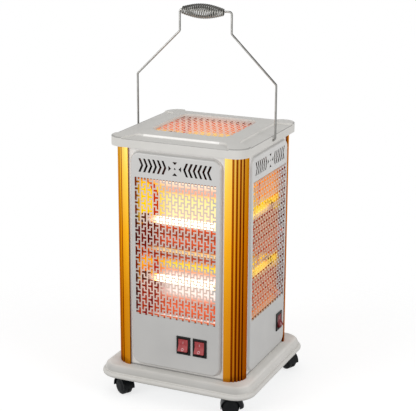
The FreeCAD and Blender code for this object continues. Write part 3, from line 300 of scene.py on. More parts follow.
halfCoat = {"side": "right", "leadEnd": 46 * mm, "lift": (1.08, 1.28),
            "tints": ((0.0, "#F0DABC"), (0.32, "#F0DABC"), (0.335, "#FFD838"), (0.37, "#FFD838"),
                      (0.385, "#F0DABC"), (0.76, "#F0DABC"), (0.775, "#FFD838"), (0.81, "#FFD838"),
                      (0.825, "#F0DABC"), (1.0, "#F0DABC")),
            "bars": ((0.0, "#000000"), (0.02, "#7A3018"), (0.13, "#9A4A30"), (0.28, "#8E4830"),
                     (0.335, "#FFC810"), (0.37, "#FFC810"), (0.39, "#8A4A30"), (0.5, "#7A3828"),
                     (0.66, "#8A4430"), (0.755, "#A05C38"), (0.775, "#FFC810"), (0.81, "#FFC810"),
                     (0.83, "#B07848"), (0.9, "#A06848"), (0.98, "#7A3828"), (1.0, "#000000"))}


def orangePeel(tree, place):  # the film's soft waves, as a height and as a bump
    peel = put(tree, "ShaderNodeTexNoise", {"Vector": place, "Scale": 1 / coat["peel"], "Detail": 1.0})
    bump = put(tree, "ShaderNodeBump", {"Strength": 0.06, "Distance": 0.2 * mm, "Height": peel})
    return peel, bump


# Powder-coated steel: orange peel under a semi-gloss film, with painted light that makes it paler on the
# flanges and towards the top, and painted shade in the seam at the panel's foot. The tubes' light is
# painted on the bars of the grille: it tints and warms them, up to where the leads enter.
def powderCoat(name, run):
    material, tree = startMaterial(name)
    place = put(tree, "ShaderNodeTexCoord").outputs["Object"]
    tone = mottle(tree, place, coat["drift"], coat["shades"])[1]
    peel, bump = orangePeel(tree, place)
    gloss = put(tree, "ShaderNodeMapRange", {"Value": peel, "To Min": coat["gloss"][0],
                                             "To Max": coat["gloss"][1]})
    apart = put(tree, "ShaderNodeVectorMath", {0: place}, operation="ABSOLUTE")
    reach = put(tree, "ShaderNodeSeparateXYZ", {0: apart}).outputs
    across = put(tree, "ShaderNodeMath", {0: reach["X"], 1: reach["Y"]}, operation="MINIMUM")
    proud = put(tree, "ShaderNodeMath", {0: reach["X"], 1: reach["Y"]}, operation="MAXIMUM")
    flange = put(tree, "ShaderNodeMath", {0: proud, 1: coat["flange"]}, operation="LESS_THAN")
    # painted light: the flanges beside the columns are paler
    film = put(tree, "ShaderNodeMix", {0: flange, 6: tone, 7: linear(coat["flangeLight"])},
               data_type="RGBA")
    middle = (grille["bottom"] + grille["top"]) / 2
    tall = put(tree, "ShaderNodeMath", {0: reach["Z"], 1: middle, 2: grille["top"] - middle},
               operation="COMPARE")
    wide = put(tree, "ShaderNodeMath", {0: across, 1: grille["half"]}, operation="LESS_THAN")
    pierced = put(tree, "ShaderNodeMath", {0: tall, 1: wide}, operation="MULTIPLY")
    leadFade = put(tree, "ShaderNodeMapRange", {
        "Value": towardsLeads(tree, place, run["side"]), "From Min": run["leadEnd"] - coat["leadFade"],
        "From Max": run["leadEnd"], "To Min": 1.0, "To Max": 0.0})
    hot = put(tree, "ShaderNodeMath", {0: pierced, 1: leadFade}, operation="MULTIPLY")
    level = put(tree, "ShaderNodeMapRange", {"Value": reach["Z"], "From Min": grille["bottom"],
                                             "From Max": grille["top"]}, clamp=False)
    tint = put(tree, "ShaderNodeValToRGB", {"Fac": level}, stops=run["tints"])
    # painted light: the tubes' light tints the bars of the grille
    glowTinted = put(tree, "ShaderNodeMix", {0: hot, 6: film.outputs[2], 7: tint},
                data_type="RGBA", blend_type="MULTIPLY")
    # painted shade: darker in the seam at the panel's foot
    seam = put(tree, "ShaderNodeMapRange", {"Value": reach["Z"], "From Min": coat["seamLow"],
                                            "From Max": coat["seamHigh"], "To Min": coat["seamShade"]})
    # painted light: brighter towards the top of the grille
    rise = put(tree, "ShaderNodeMapRange", {
        "Value": reach["Z"], "From Min": grille["bottom"], "From Max": grille["top"],
        "To Min": run["lift"][0], "To Max": run["lift"][1]})
    light = put(tree, "ShaderNodeMath", {0: seam, 1: rise}, operation="MULTIPLY")
    shade = put(tree, "ShaderNodeVectorMath", {0: glowTinted.outputs[2], "Scale": light}, operation="SCALE")
    warm = put(tree, "ShaderNodeValToRGB", {"Fac": level}, stops=run["bars"])
    inside = put(tree, "ShaderNodeMapRange", {
        "Value": across, "From Min": grille["half"] - coat["warmEdge"],
        "From Max": grille["half"], "To Min": coat["warmth"], "To Max": 0.0})
    lit = put(tree, "ShaderNodeMath", {0: inside, 1: leadFade}, operation="MULTIPLY")
    endMaterial(tree, put(tree, "ShaderNodeBsdfPrincipled", {
        "Base Color": shade, "Roughness": gloss, "IOR": 1.5, "Normal": bump,
        "Emission Color": warm, "Emission Strength": lit}))
    return material


topSheet = {"shade": "#C2BCB8", "glow": "#FF9A68", "warmFrom": 40 * mm, "warmTo": 85 * mm,
            "most": 0.28, "least": 0.1}


# The top sheet has the same powder coat, and the tube below it lights its whole field with a painted warm
# glow.
def topCoat():
    material, tree = startMaterial("steelPowderCoatedTopSheet")
    place = put(tree, "ShaderNodeTexCoord").outputs["Object"]
    bump = orangePeel(tree, place)[1]
    flat = put(tree, "ShaderNodeVectorMath", {0: place, 1: (1, 1, 0)}, operation="MULTIPLY")
    away = put(tree, "ShaderNodeVectorMath", {0: flat}, operation="LENGTH")
    # painted glow of the tube's light below the sheet
    warm = put(tree, "ShaderNodeMapRange", {
        "Value": away.outputs["Value"], "From Min": topSheet["warmFrom"], "From Max": topSheet["warmTo"],
        "To Min": topSheet["most"], "To Max": topSheet["least"]})
    endMaterial(tree, put(tree, "ShaderNodeBsdfPrincipled", {
        "Base Color": linear(topSheet["shade"]), "Roughness": 0.36, "IOR": 1.5, "Normal": bump,
        "Emission Color": linear(topSheet["glow"]), "Emission Strength": warm}))
    return material


# Columns. Painted shade and light go from a flute's floor to its land, from the lobe that faces sideways
# to the one that faces front or rear, and from foot to head.
columnLook = {"corner": 88 * mm, "land": 29 * mm, "flute": 1.8 * mm, "foot": 57 * mm, "head": 455 * mm,
              "line": 0.9 * mm, "lineLength": 160 * mm,  # drawn coarser than real die lines
              "sheen": (0.16, 0.34), "edge": "#F0BC48",
              "flutes": ((0.0, "#B4743C"), (0.5, "#C8905A"), (0.95, "#FFFFFF")),
              "lobes": ((0.0, "#BC9458"), (0.3, "#C8A478"), (0.55, "#DCC49C"), (0.75, "#FFF4E4"),
                        (1.0, "#FFFFFF")),
              "dye": ((0.0, "#B87818"), (0.3, "#D28C18"), (0.6, "#F4B224"), (0.85, "#FFD254"),
                      (1.0, "#FFE27C"))}


# Anodised aluminium, drawn through a die and dyed gold: fine die lines along it, with painted shade that
# darkens the flutes and the lobes that face sideways, and the gold deeper towards the foot and paler
# towards the head by painted light.
def goldAnodised():
    material, tree = startMaterial("aluminiumAnodisedGold")
    place = put(tree, "ShaderNodeTexCoord").outputs["Object"]
    apart = put(tree, "ShaderNodeVectorMath", {0: place}, operation="ABSOLUTE")
    corner = (columnLook["corner"], columnLook["corner"], 0)
    inward = put(tree, "ShaderNodeVectorMath", {0: apart, 1: corner}, operation="SUBTRACT")
    flat = put(tree, "ShaderNodeVectorMath", {0: inward, 1: (1, 1, 0)}, operation="MULTIPLY")
    radius = put(tree, "ShaderNodeVectorMath", {0: flat}, operation="LENGTH")
    depth = put(tree, "ShaderNodeMapRange", {
        "Value": radius.outputs["Value"], "From Min": columnLook["land"] - columnLook["flute"],
        "From Max": columnLook["land"]})
    # painted shade, darker towards a flute's floor
    flute = put(tree, "ShaderNodeValToRGB", {"Fac": depth}, stops=columnLook["flutes"])
    sides = put(tree, "ShaderNodeSeparateXYZ", {0: flat}).outputs
    bearing = put(tree, "ShaderNodeMath", {0: sides["Y"], 1: sides["X"]}, operation="ARCTAN2")
    turn = put(tree, "ShaderNodeMapRange", {"Value": bearing, "From Max": math.pi / 2})
    # painted light on the lobes that face front or rear, painted shade on those that face sideways
    lobe = put(tree, "ShaderNodeValToRGB", {"Fac": turn}, stops=columnLook["lobes"])
    height = put(tree, "ShaderNodeSeparateXYZ", {0: place}).outputs["Z"]
    rise = put(tree, "ShaderNodeMapRange", {"Value": height, "From Min": columnLook["foot"],
                                            "From Max": columnLook["head"]})
    # the gold colour, with painted light that pales it towards the head and deepens it towards the foot
    dye = put(tree, "ShaderNodeValToRGB", {"Fac": rise}, stops=columnLook["dye"])
    tone = put(tree, "ShaderNodeVectorMath", {0: dye, 1: flute}, operation="MULTIPLY")
    shade = put(tree, "ShaderNodeVectorMath", {0: tone, 1: lobe}, operation="MULTIPLY")
    fine = 1 / columnLook["line"]
    lines = put(tree, "ShaderNodeMapping", {"Vector": place,
                                            "Scale": (fine, fine, 1 / columnLook["lineLength"])})
    drawn = put(tree, "ShaderNodeTexNoise", {"Vector": lines, "Scale": 1.0, "Detail": 2.0})
    rough = put(tree, "ShaderNodeMapRange", {"Value": drawn, "To Min": columnLook["sheen"][0],
                                             "To Max": columnLook["sheen"][1]})
    bump = put(tree, "ShaderNodeBump", {"Strength": 0.04, "Distance": 0.1 * mm, "Height": drawn})
    endMaterial(tree, put(tree, "ShaderNodeBsdfPrincipled", {
        "Base Color": shade, "Metallic": 1.0, "Roughness": rough,
        "Specular Tint": linear(columnLook["edge"]), "Normal": bump}))
    return material


# Reflectors. The two troughs of a side lie one pitch apart, with a fold between them at the middle.
trough = {"pitch": 120 * mm, "middle": 274 * mm, "fold": 1.5 * mm, "coolFrom": 20 * mm, "coolTo": 58 * mm,
          "windingGap": 56 * mm, "windingGapHalf": 5 * mm, "windingGapShade": "#C04010", "wall": 72.4 * mm,
          "wallDark": 6 * mm, "wallLit": 22 * mm, "slant": 0.25, "blotch": 18 * mm,
          "shades": ("#54180E", "#7C3820"), "sheen": (0.2, 0.4)}

# Painted glow, the tubes' light on a reflector, along its section in mm of height: first at the tubes'
# middle, then at the lead end. The front and rear run at full power, the other two sides at half. The top
# has its own bands.
fullPower = (((154, "#000000"), (155, "#C86038"), (157.4, "#D06838"), (157.8, "#FFF4EA"),
              (158.6, "#FFF4EA"), (159, "#B04C2C"), (176, "#B45436"), (182, "#F0B49C"),
              (187, "#FFF8F0"), (218, "#FFFCF4"), (227, "#F4A880"), (235, "#FFF050"),
              (243, "#F8C020"), (250, "#5A1008"), (270, "#6A1608"), (272, "#FFD890"),
              (276, "#FFD890"), (278, "#7A2410"), (304, "#8A3820"), (312, "#FFF4C0"),
              (345, "#FFFAB0"), (359, "#FFF490"), (366, "#F0A888"), (393, "#FFE4D0"),
              (394, "#000000")),
             ((154, "#000000"), (155, "#A83410"), (200, "#6A1408"), (208, "#C85010"),
              (214, "#FFC030"), (222, "#D85C10"), (238, "#FFB410"), (250, "#D04C08"),
              (258, "#6A1008"), (272, "#C85818"), (278, "#701408"), (304, "#581008"),
              (314, "#F0A020"), (326, "#FFD400"), (374, "#FFD000"), (393, "#B03008"),
              (394, "#000000")))
halfPower = (((154, "#000000"), (155.9, "#1C0808"), (156.3, "#FF9838"), (158.5, "#F08840"),
              (162, "#B84A20"), (190, "#B04014"), (206, "#FFD020"), (222, "#FFD020"),
              (240, "#D05818"), (270, "#8A2810"), (274, "#C86038"), (280, "#942C10"),
              (306, "#983010"), (314, "#FFD030"), (350, "#FFB838"), (380, "#F08830"),
              (393, "#E07040"), (394, "#000000")),
             ((154, "#000000"), (155.9, "#140606"), (156.3, "#F08830"), (158.5, "#D87030"),
              (170, "#A83C18"), (200, "#842008"), (210, "#FFC818"), (220, "#FFC818"),
              (228, "#A83808"), (262, "#A83C10"), (274, "#C05830"), (290, "#8A2810"),
              (308, "#802008"), (314, "#FFD818"), (324, "#FFC018"), (332, "#F08C28"),
              (375, "#F08C28"), (393, "#B84420"), (394, "#000000")))
topPower = (((437, "#F4A050"), (445, "#FFD830"), (450, "#FFD840"), (453, "#F08030"), (465, "#DC5810"),
             (470, "#C04410"), (472, "#7A200A"), (475, "#3A0E08")),
            ((422, "#FFD820"), (438, "#FFE020"), (447, "#FFC820"), (450, "#EC6420"), (462, "#D84C18"),
             (475, "#4A140A")))


def awayFromTube(tree, place, height, side):  # from the axis of the tube in the same trough
    if side == "top":
        return put(tree, "ShaderNodeVectorMath", {0: place, 1: (0, 0, topTube)}, operation="SUBTRACT")
    low = put(tree, "ShaderNodeMath", {0: height, 1: trough["middle"]}, operation="SUBTRACT")
    share = put(tree, "ShaderNodeMath", {0: low, 1: trough["pitch"]}, operation="DIVIDE")
    part = put(tree, "ShaderNodeMath", {0: share}, operation="FRACT")
    half = put(tree, "ShaderNodeMath", {0: part, 1: 0.5}, operation="SUBTRACT")
    rise = put(tree, "ShaderNodeMath", {0: half, 1: trough["pitch"]}, operation="MULTIPLY")
    flat = put(tree, "ShaderNodeVectorMath", {0: place, 1: (1, 1, 0)}, operation="MULTIPLY")
    lift = put(tree, "ShaderNodeCombineXYZ", {2: rise})
    both = put(tree, "ShaderNodeVectorMath", {0: flat, 1: lift}, operation="ADD")
    return put(tree, "ShaderNodeVectorMath", {0: both, 1: Vector(ways[side]) * tubeOut},
               operation="SUBTRACT")


# Bright stainless sheet, folded and tinted straw to maroon by heat. The faces that look at a tube
# carry its light as a painted glow: yellow behind and above the tube, brick red below it, maroon by the
# leads.
def heatedStainless(side, bands):
    material, tree = startMaterial("stainlessHeatTintedPaintedGlow" + side.capitalize())
    spots = put(tree, "ShaderNodeTexCoord").outputs
    place = spots["Object"]
    axes = put(tree, "ShaderNodeSeparateXYZ", {0: place}).outputs
    reach = put(tree, "ShaderNodeVectorMath", {0: place, 1: ways[side]},
                operation="DOT_PRODUCT").outputs["Value"]
    lean = towardsLeads(tree, place, side)
    looks = put(tree, "ShaderNodeVectorMath", {
        0: spots["Normal"], 1: awayFromTube(tree, place, axes["Z"], side)},
        operation="DOT_PRODUCT").outputs["Value"]
    facing = put(tree, "ShaderNodeMath", {0: looks, 1: 0.0}, operation="LESS_THAN")
    if side == "top":  # the lit part of the walls reaches higher towards the front
        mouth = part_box("top_reflector")[1].z
        section = put(tree, "ShaderNodeMath", {0: axes["Y"], 1: trough["slant"], 2: axes["Z"]},
                      operation="MULTIPLY_ADD")
        seen = facing
    else:  # the crease between the troughs is lit too
        mouth = grille["plane"]
        section = axes["Z"]
        fold = put(tree, "ShaderNodeMath", {0: section, 1: trough["middle"], 2: trough["fold"]},
                   operation="COMPARE")
        seen = put(tree, "ShaderNodeMath", {0: facing, 1: fold}, operation="MAXIMUM")
    span = put(tree, "ShaderNodeMath", {0: lean}, operation="ABSOLUTE")
    inner = put(tree, "ShaderNodeMath", {0: span, 1: trough["wall"]}, operation="LESS_THAN")
    wallLit = put(tree, "ShaderNodeMapRange", {"Value": reach, "From Min": mouth - trough["wallDark"],
                                               "From Max": mouth - trough["wallLit"]})
    lit = put(tree, "ShaderNodeMath", {0: inner, 1: wallLit}, operation="MAXIMUM")
    power = put(tree, "ShaderNodeMath", {0: seen, 1: lit}, operation="MULTIPLY")
    glows = []
    for band in bands:
        start, end = band[0][0], band[-1][0]
        level = put(tree, "ShaderNodeMapRange", {"Value": section, "From Min": start * mm,
                                                 "From Max": end * mm})
        glows.append(put(tree, "ShaderNodeValToRGB", {"Fac": level}, stops=[
            ((spot - start) / (end - start), code) for spot, code in band]))
    cool = put(tree, "ShaderNodeMapRange", {"Value": lean, "From Min": trough["coolFrom"],
                                            "From Max": trough["coolTo"]},
               interpolation_type="SMOOTHSTEP")
    glow = put(tree, "ShaderNodeMix", {0: cool, 6: glows[0], 7: glows[1]}, data_type="RGBA")
    # painted shade: a darker maroon stripe in the painted glow where the windings stop
    windingGap = put(tree, "ShaderNodeMath", {0: lean, 1: trough["windingGap"], 2: trough["windingGapHalf"]},
                operation="COMPARE")  # a maroon stripe where the windings stop
    striped = put(tree, "ShaderNodeMix", {0: windingGap, 6: glow.outputs[2],
                                          7: linear(trough["windingGapShade"])},
                  data_type="RGBA", blend_type="MULTIPLY")
    blotch, tint = mottle(tree, place, trough["blotch"], trough["shades"], detail=3.0)
    rough = put(tree, "ShaderNodeMapRange", {"Value": blotch, "To Min": trough["sheen"][0],
                                             "To Max": trough["sheen"][1]})
    # the emission is the tubes' light, painted on the reflector
    endMaterial(tree, put(tree, "ShaderNodeBsdfPrincipled", {
        "Base Color": tint, "Metallic": 1.0, "Roughness": rough,
        "Emission Color": striped.outputs[2], "Emission Strength": power}))
    return material


# Tubes. A glow has its colours from cold to hot, its most power, and where the winding ends.
quartz = {"shade": "#E6DED2", "winding": 3.2 * mm, "ripple": 0.85, "least": 0.2, "leadFade": 20 * mm,
          "farFrom": 62 * mm, "farTo": 68 * mm}
whiteHot = ((0.0, "#1A0602"), (0.2, "#B03A08"), (0.5, "#FFB43C"), (1.0, "#FFF0D0"))
yellowHot = ((0.0, "#1A0602"), (0.3, "#C84808"), (0.7, "#FFB000"), (1.0, "#FFDC18"))
tubeGlow = {"front": (whiteHot, 4.0, 60 * mm), "right": (yellowHot, 0.9, 60 * mm),
            "top": (yellowHot, 1.1, 84 * mm)}


# Milky fused quartz with a live winding inside: brightest along the middle, orange where the winding
# ends, and dull at the caps.
def hotQuartz(side):
    stops, most, hotTo = tubeGlow[side]
    material, tree = startMaterial("quartzMilkyGlowing" + side.capitalize())
    place = put(tree, "ShaderNodeTexCoord").outputs["Object"]
    lean = towardsLeads(tree, place, side)
    leadFade = put(tree, "ShaderNodeMapRange", {"Value": lean, "From Min": hotTo - quartz["leadFade"],
                                                "From Max": hotTo, "To Min": 1.0, "To Max": 0.0})
    farFade = put(tree, "ShaderNodeMapRange", {"Value": lean, "From Min": -quartz["farFrom"],
                                               "From Max": -quartz["farTo"], "To Min": 1.0, "To Max": 0.0})
    fade = put(tree, "ShaderNodeMath", {0: leadFade, 1: farFade}, operation="MULTIPLY")
    turns = put(tree, "ShaderNodeMath", {0: lean, 1: math.tau / quartz["winding"]}, operation="MULTIPLY")
    wave = put(tree, "ShaderNodeMath", {0: turns}, operation="SINE")
    ripple = put(tree, "ShaderNodeMapRange", {"Value": wave, "From Min": -1.0,
                                              "To Min": quartz["ripple"], "To Max": 1.0})
    warm = put(tree, "ShaderNodeMath", {0: fade, 1: ripple}, operation="MULTIPLY")
    glow = put(tree, "ShaderNodeValToRGB", {"Fac": warm}, stops=stops)
    power = put(tree, "ShaderNodeMapRange", {"Value": warm, "To Min": quartz["least"], "To Max": most})
    endMaterial(tree, put(tree, "ShaderNodeBsdfPrincipled", {
        "Base Color": linear(quartz["shade"]), "Roughness": 0.25, "IOR": 1.46,
        "Emission Color": glow, "Emission Strength": power}))
    return material


caps = {"shades": ("#B8A48C", "#E4DCCB"), "cloud": 6 * mm, "leadEndBrown": "#8A4A34", "lit": "#FFE4B8",
        "through": 0.9}


# Steatite ceramic, pressed and fired: chalky and off-white in cloudy patches, darker brown at the lead
# end, and with a painted glow of the tube's light at the other.
def steatite(side):
    material, tree = startMaterial("steatiteFired" + side.capitalize())
    place = put(tree, "ShaderNodeTexCoord").outputs["Object"]
    lead = put(tree, "ShaderNodeMath", {0: towardsLeads(tree, place, side), 1: 0.0},
               operation="GREATER_THAN")
    cloud, tone = mottle(tree, place, caps["cloud"], caps["shades"], detail=4.0)
    brown = put(tree, "ShaderNodeMix", {0: lead, 6: tone, 7: linear(caps["leadEndBrown"])},
                data_type="RGBA", blend_type="MULTIPLY")
    # painted glow of the tube's light on the caps away from the leads
    through = put(tree, "ShaderNodeMapRange", {"Value": lead, "To Min": caps["through"], "To Max": 0.0})
    bump = put(tree, "ShaderNodeBump", {"Strength": 0.2, "Distance": 0.2 * mm, "Height": cloud})
    endMaterial(tree, put(tree, "ShaderNodeBsdfPrincipled", {
        "Base Color": brown.outputs[2], "Roughness": 0.7, "Normal": bump,
        "Emission Color": linear(caps["lit"]), "Emission Strength": through}))
    return material


# Switch housings, caster hoods, wheels and cord gland. The grain is drawn coarser than a real mould's,
# which is too fine to show.
blacks = {"polyesterBlackSparkGrain": {"shades": ("#0E0E0E", "#1A1A1A"), "grain": 0.9 * mm,
                                       "sheen": (0.35, 0.49), "gloss": 0.15},
          "polypropyleneBlackMoulded": {"shades": ("#06080A", "#0E1113"), "grain": 1.2 * mm,
                                        "sheen": (0.29, 0.43), "gloss": 0.14},
          "nylonBlackTyre": {"shades": ("#0A0C0D", "#141618"), "grain": 1.0 * mm,
                             "sheen": (0.43, 0.57), "gloss": 0.12},
          "nylonBlackGland": {"shades": ("#121212", "#1E1E1E"), "grain": 1.0 * mm,
                              "sheen": (0.33, 0.47), "gloss": 0.25}}


# Black moulded plastics: near-black with a fine spark grain that breaks up the gloss.
def blackMoulding(name):
    look = blacks[name]
    material, tree = startMaterial(name)
    place = put(tree, "ShaderNodeTexCoord").outputs["Object"]
    grain, tone = mottle(tree, place, look["grain"], look["shades"], spread=(0.25, 0.75))
    rough = put(tree, "ShaderNodeMapRange", {"Value": grain, "To Min": look["sheen"][0],
                                             "To Max": look["sheen"][1]})
    bump = put(tree, "ShaderNodeBump", {"Strength": 0.1, "Distance": 0.1 * mm, "Height": grain})
    endMaterial(tree, put(tree, "ShaderNodeBsdfPrincipled", {
        "Base Color": tone, "Roughness": rough, "IOR": 1.5,
        "Specular IOR Level": look["gloss"], "Normal": bump}))
    return material


# The front rockers are paler with painted light, and the others darker with painted shade: lit and shaded
# copies of one red.
rockers = {"cloud": 5 * mm, "polycarbonateRedLit": ("#983E40", "#B05456"),
           "polycarbonateRedUnlit": ("#681A1E", "#7C2A2E")}


# Red polycarbonate, moulded clear and dyed: light goes a little way in, and the face is satin.
def redRocker(name):
    material, tree = startMaterial(name)
    place = put(tree, "ShaderNodeTexCoord").outputs["Object"]
    tone = mottle(tree, place, rockers["cloud"], rockers[name], spread=(0.25, 0.75))[1]
    endMaterial(tree, put(tree, "ShaderNodeBsdfPrincipled", {
        "Base Color": tone, "Roughness": 0.4, "IOR": 1.58, "Specular IOR Level": 0.08,
        "Subsurface Weight": 0.1, "Subsurface Radius": (3 * mm, 0.6 * mm, 0.6 * mm)}))
    return material


# Wire, grip and screws. The side with painted shade is a direction, and the shade comes in between two
# cosines to it.
plating = {"scuff": 14 * mm, "darkSide": (0.64, -0.1, 0.76), "darkFrom": 0.25, "darkTo": 0.8, "dark": 0.22,
           "steelSpringNickelPlated": {"shades": ("#8A8984", "#A6A5A0"), "sheen": (0.26, 0.36)},
           "steelDrawnChromePlated": {"shades": ("#8E8D8A", "#A09F9C"), "sheen": (0.26, 0.36)},
           "steelZincPlated": {"shades": ("#A9ABAA", "#C6C8C8"), "sheen": (0.31, 0.41)}}


# Drawn and plated steel: bright, with soft scuffs, and a painted shade that darkens the side that faces up
# and to the right.
def platedSteel(name):
    look = plating[name]
    material, tree = startMaterial(name)
    spots = put(tree, "ShaderNodeTexCoord").outputs
    scuff, tone = mottle(tree, spots["Object"], plating["scuff"], look["shades"])
    rough = put(tree, "ShaderNodeMapRange", {"Value": scuff, "To Min": look["sheen"][0],
                                             "To Max": look["sheen"][1]})
    turned = put(tree, "ShaderNodeVectorMath", {0: spots["Normal"], 1: plating["darkSide"]},
                 operation="DOT_PRODUCT").outputs["Value"]
    # painted shade on the side that faces up and to the right
    shadedSide = put(tree, "ShaderNodeMapRange", {"Value": turned, "From Min": plating["darkFrom"],
                                               "From Max": plating["darkTo"], "To Min": 1.0,
                                               "To Max": plating["dark"]})
    plate = put(tree, "ShaderNodeVectorMath", {0: tone, "Scale": shadedSide}, operation="SCALE")
    endMaterial(tree, put(tree, "ShaderNodeBsdfPrincipled", {
        "Base Color": plate, "Metallic": 1.0, "Roughness": rough}))
    return material


zinc = {"crystal": 9 * mm, "shades": ((0.2, "#8E9294"), (0.8, "#B4B8BA"))}


# Galvanised sheet: a zinc skin in flat crystals, each with its own grey.
def galvanised():
    material, tree = startMaterial("steelGalvanised")
    place = put(tree, "ShaderNodeTexCoord").outputs["Object"]
    crystal = put(tree, "ShaderNodeTexVoronoi", {"Vector": place, "Scale": 1 / zinc["crystal"]})
    tone = put(tree, "ShaderNodeValToRGB", {"Fac": crystal.outputs["Color"]}, stops=zinc["shades"])
    endMaterial(tree, put(tree, "ShaderNodeBsdfPrincipled", {
        "Base Color": tone, "Metallic": 1.0, "Roughness": 0.42}))
    return material


ink = {"wear": 0.8 * mm, "shades": ("#B47478", "#D8B4B6")}


# Pad print on the rockers: a thin pale ink, worn so that the red shows through.
def padPrint():
    material, tree = startMaterial("inkPadPrinted")
    place = put(tree, "ShaderNodeTexCoord").outputs["Object"]
    tone = mottle(tree, place, ink["wear"], ink["shades"])[1]
    endMaterial(tree, put(tree, "ShaderNodeBsdfPrincipled", {"Base Color": tone, "Roughness": 0.5}))
    return material


corners = ("front_left", "front_right", "rear_right", "rear_left")
switchSides = {"front_inner": "front", "front_outer": "front", "right": "right", "rear": "rear",
               "left": "left"}
dress(mouldedAbs(), "base_tray", "top_frame")
dress(powderCoat("steelPowderCoatedSilverGrey", fullCoat), "front_panel", "rear_panel")
dress(powderCoat("steelPowderCoatedYellowLit", halfCoat), "right_panel", "left_panel")
dress(topCoat(), "top_grille")
dress(goldAnodised(), *[corner + "_column" for corner in corners])
for pair, bands, levels in ((("front", "rear"), fullPower, ("_upper_tube", "_lower_tube")),
                            (("right", "left"), halfPower, ("_upper_tube", "_lower_tube")),
                            (("top",), topPower, ("_tube",))):
    dress(hotQuartz(pair[0]), *[side + level for side in pair for level in levels])
    dress(steatite(pair[0]), *[side + "_tube_caps" for side in pair])
    for side in pair:
        dress(heatedStainless(side, bands), side + "_reflector")
dress(blackMoulding("polyesterBlackSparkGrain"), *[switch + "_switch" for switch in switchSides])
# painted light on the front rockers and painted shade on the others
litRed = redRocker("polycarbonateRedLit")
unlitRed = redRocker("polycarbonateRedUnlit")
for switch, side in switchSides.items():
    dress(litRed if side == "front" else unlitRed, switch + "_rocker")
dress(blackMoulding("polypropyleneBlackMoulded"), *[corner + "_caster_hood" for corner in corners])
dress(blackMoulding("nylonBlackTyre"), *[corner + "_caster_wheels" for corner in corners])
dress(platedSteel("steelDrawnChromePlated"), "handle_wire")
dress(galvanised(), "base_bottom_plate")
dress(platedSteel("steelZincPlated"), "base_screws")
dress(blackMoulding("nylonBlackGland"), "cord_gland")
springWire = platedSteel("steelSpringNickelPlated")
printInk = padPrint()
print("materials assigned")


def startTree(name, sizes, kinds):  # a tree with a named input for each size, and those inputs
    tree = bpy.data.node_groups.new(name, "GeometryNodeTree")
    for label in {**sizes, **kinds}:
        tree.interface.new_socket(label, in_out="INPUT", socket_type=kinds.get(label, "NodeSocketFloat"))
    tree.interface.new_socket("Geometry", in_out="OUTPUT", socket_type="NodeSocketGeometry")
    return tree, put(tree, "NodeGroupInput").outputs


def endTree(tree, shape, material):
    real = put(tree, "GeometryNodeRealizeInstances", {0: shape})
    done = put(tree, "GeometryNodeSetMaterial", {"Geometry": real, "Material": material})
    put(tree, "NodeGroupOutput", {0: done})


# Coiled grip: one wire wound on a barrel, the turns swelling to the middle.
grip = {"Turns": 20.0, "Length": 79 * mm, "Wire": 2.5 * mm, "End": 12 * mm, "Middle": 25.4 * mm,
        "Centre": (-5.35 * mm, 0.0, 655.25 * mm), "Points": 560, "Sides": 12}


def gripTree():
    kinds = {"Centre": "NodeSocketVector", "Points": "NodeSocketInt", "Sides": "NodeSocketInt",
             "Material": "NodeSocketMaterial"}
    tree, size = startTree("woundGrip", grip, kinds)
    line = put(tree, "GeometryNodeCurvePrimitiveLine")
    fine = put(tree, "GeometryNodeResampleCurve", {"Curve": line, "Count": size["Points"]})
    share = put(tree, "GeometryNodeSplineParameter").outputs["Factor"]
    run = put(tree, "ShaderNodeMath", {0: size["Length"], 1: size["Wire"]}, operation="SUBTRACT")
    middle = put(tree, "ShaderNodeMath", {0: share, 1: 0.5}, operation="SUBTRACT")
    along = put(tree, "ShaderNodeMath", {0: middle, 1: run}, operation="MULTIPLY")
    half = put(tree, "ShaderNodeMath", {0: share, 1: math.pi}, operation="MULTIPLY")
    swell = put(tree, "ShaderNodeMath", {0: half}, operation="SINE")
    slim = put(tree, "ShaderNodeMath", {0: size["End"], 1: size["Wire"]}, operation="SUBTRACT")
    fat = put(tree, "ShaderNodeMath", {0: size["Middle"], 1: size["End"]}, operation="SUBTRACT")
    across = put(tree, "ShaderNodeMath", {0: fat, 1: swell, 2: slim}, operation="MULTIPLY_ADD")
    radius = put(tree, "ShaderNodeMath", {0: across, 1: 0.5}, operation="MULTIPLY")
    whole = put(tree, "ShaderNodeMath", {0: size["Turns"], 1: math.tau}, operation="MULTIPLY")
    angle = put(tree, "ShaderNodeMath", {0: whole, 1: share}, operation="MULTIPLY")
    swing = []
    for operation in ("SINE", "COSINE"):
        wave = put(tree, "ShaderNodeMath", {0: angle}, operation=operation)
        swing.append(put(tree, "ShaderNodeMath", {0: wave, 1: radius}, operation="MULTIPLY"))
    point = put(tree, "ShaderNodeCombineXYZ", {0: along, 1: swing[0], 2: swing[1]})
    spot = put(tree, "ShaderNodeVectorMath", {0: point, 1: size["Centre"]}, operation="ADD")
    coil = put(tree, "GeometryNodeSetPosition", {"Geometry": fine, "Position": spot})
    thick = put(tree, "ShaderNodeMath", {0: size["Wire"], 1: 0.5}, operation="MULTIPLY")
    section = put(tree, "GeometryNodeCurvePrimitiveCircle", {"Resolution": size["Sides"],
                                                             "Radius": thick})
    wire = put(tree, "GeometryNodeCurveToMesh", {"Curve": coil,
                                                 "Profile Curve": section, "Fill Caps": True})
    endTree(tree, wire, size["Material"])
    return tree


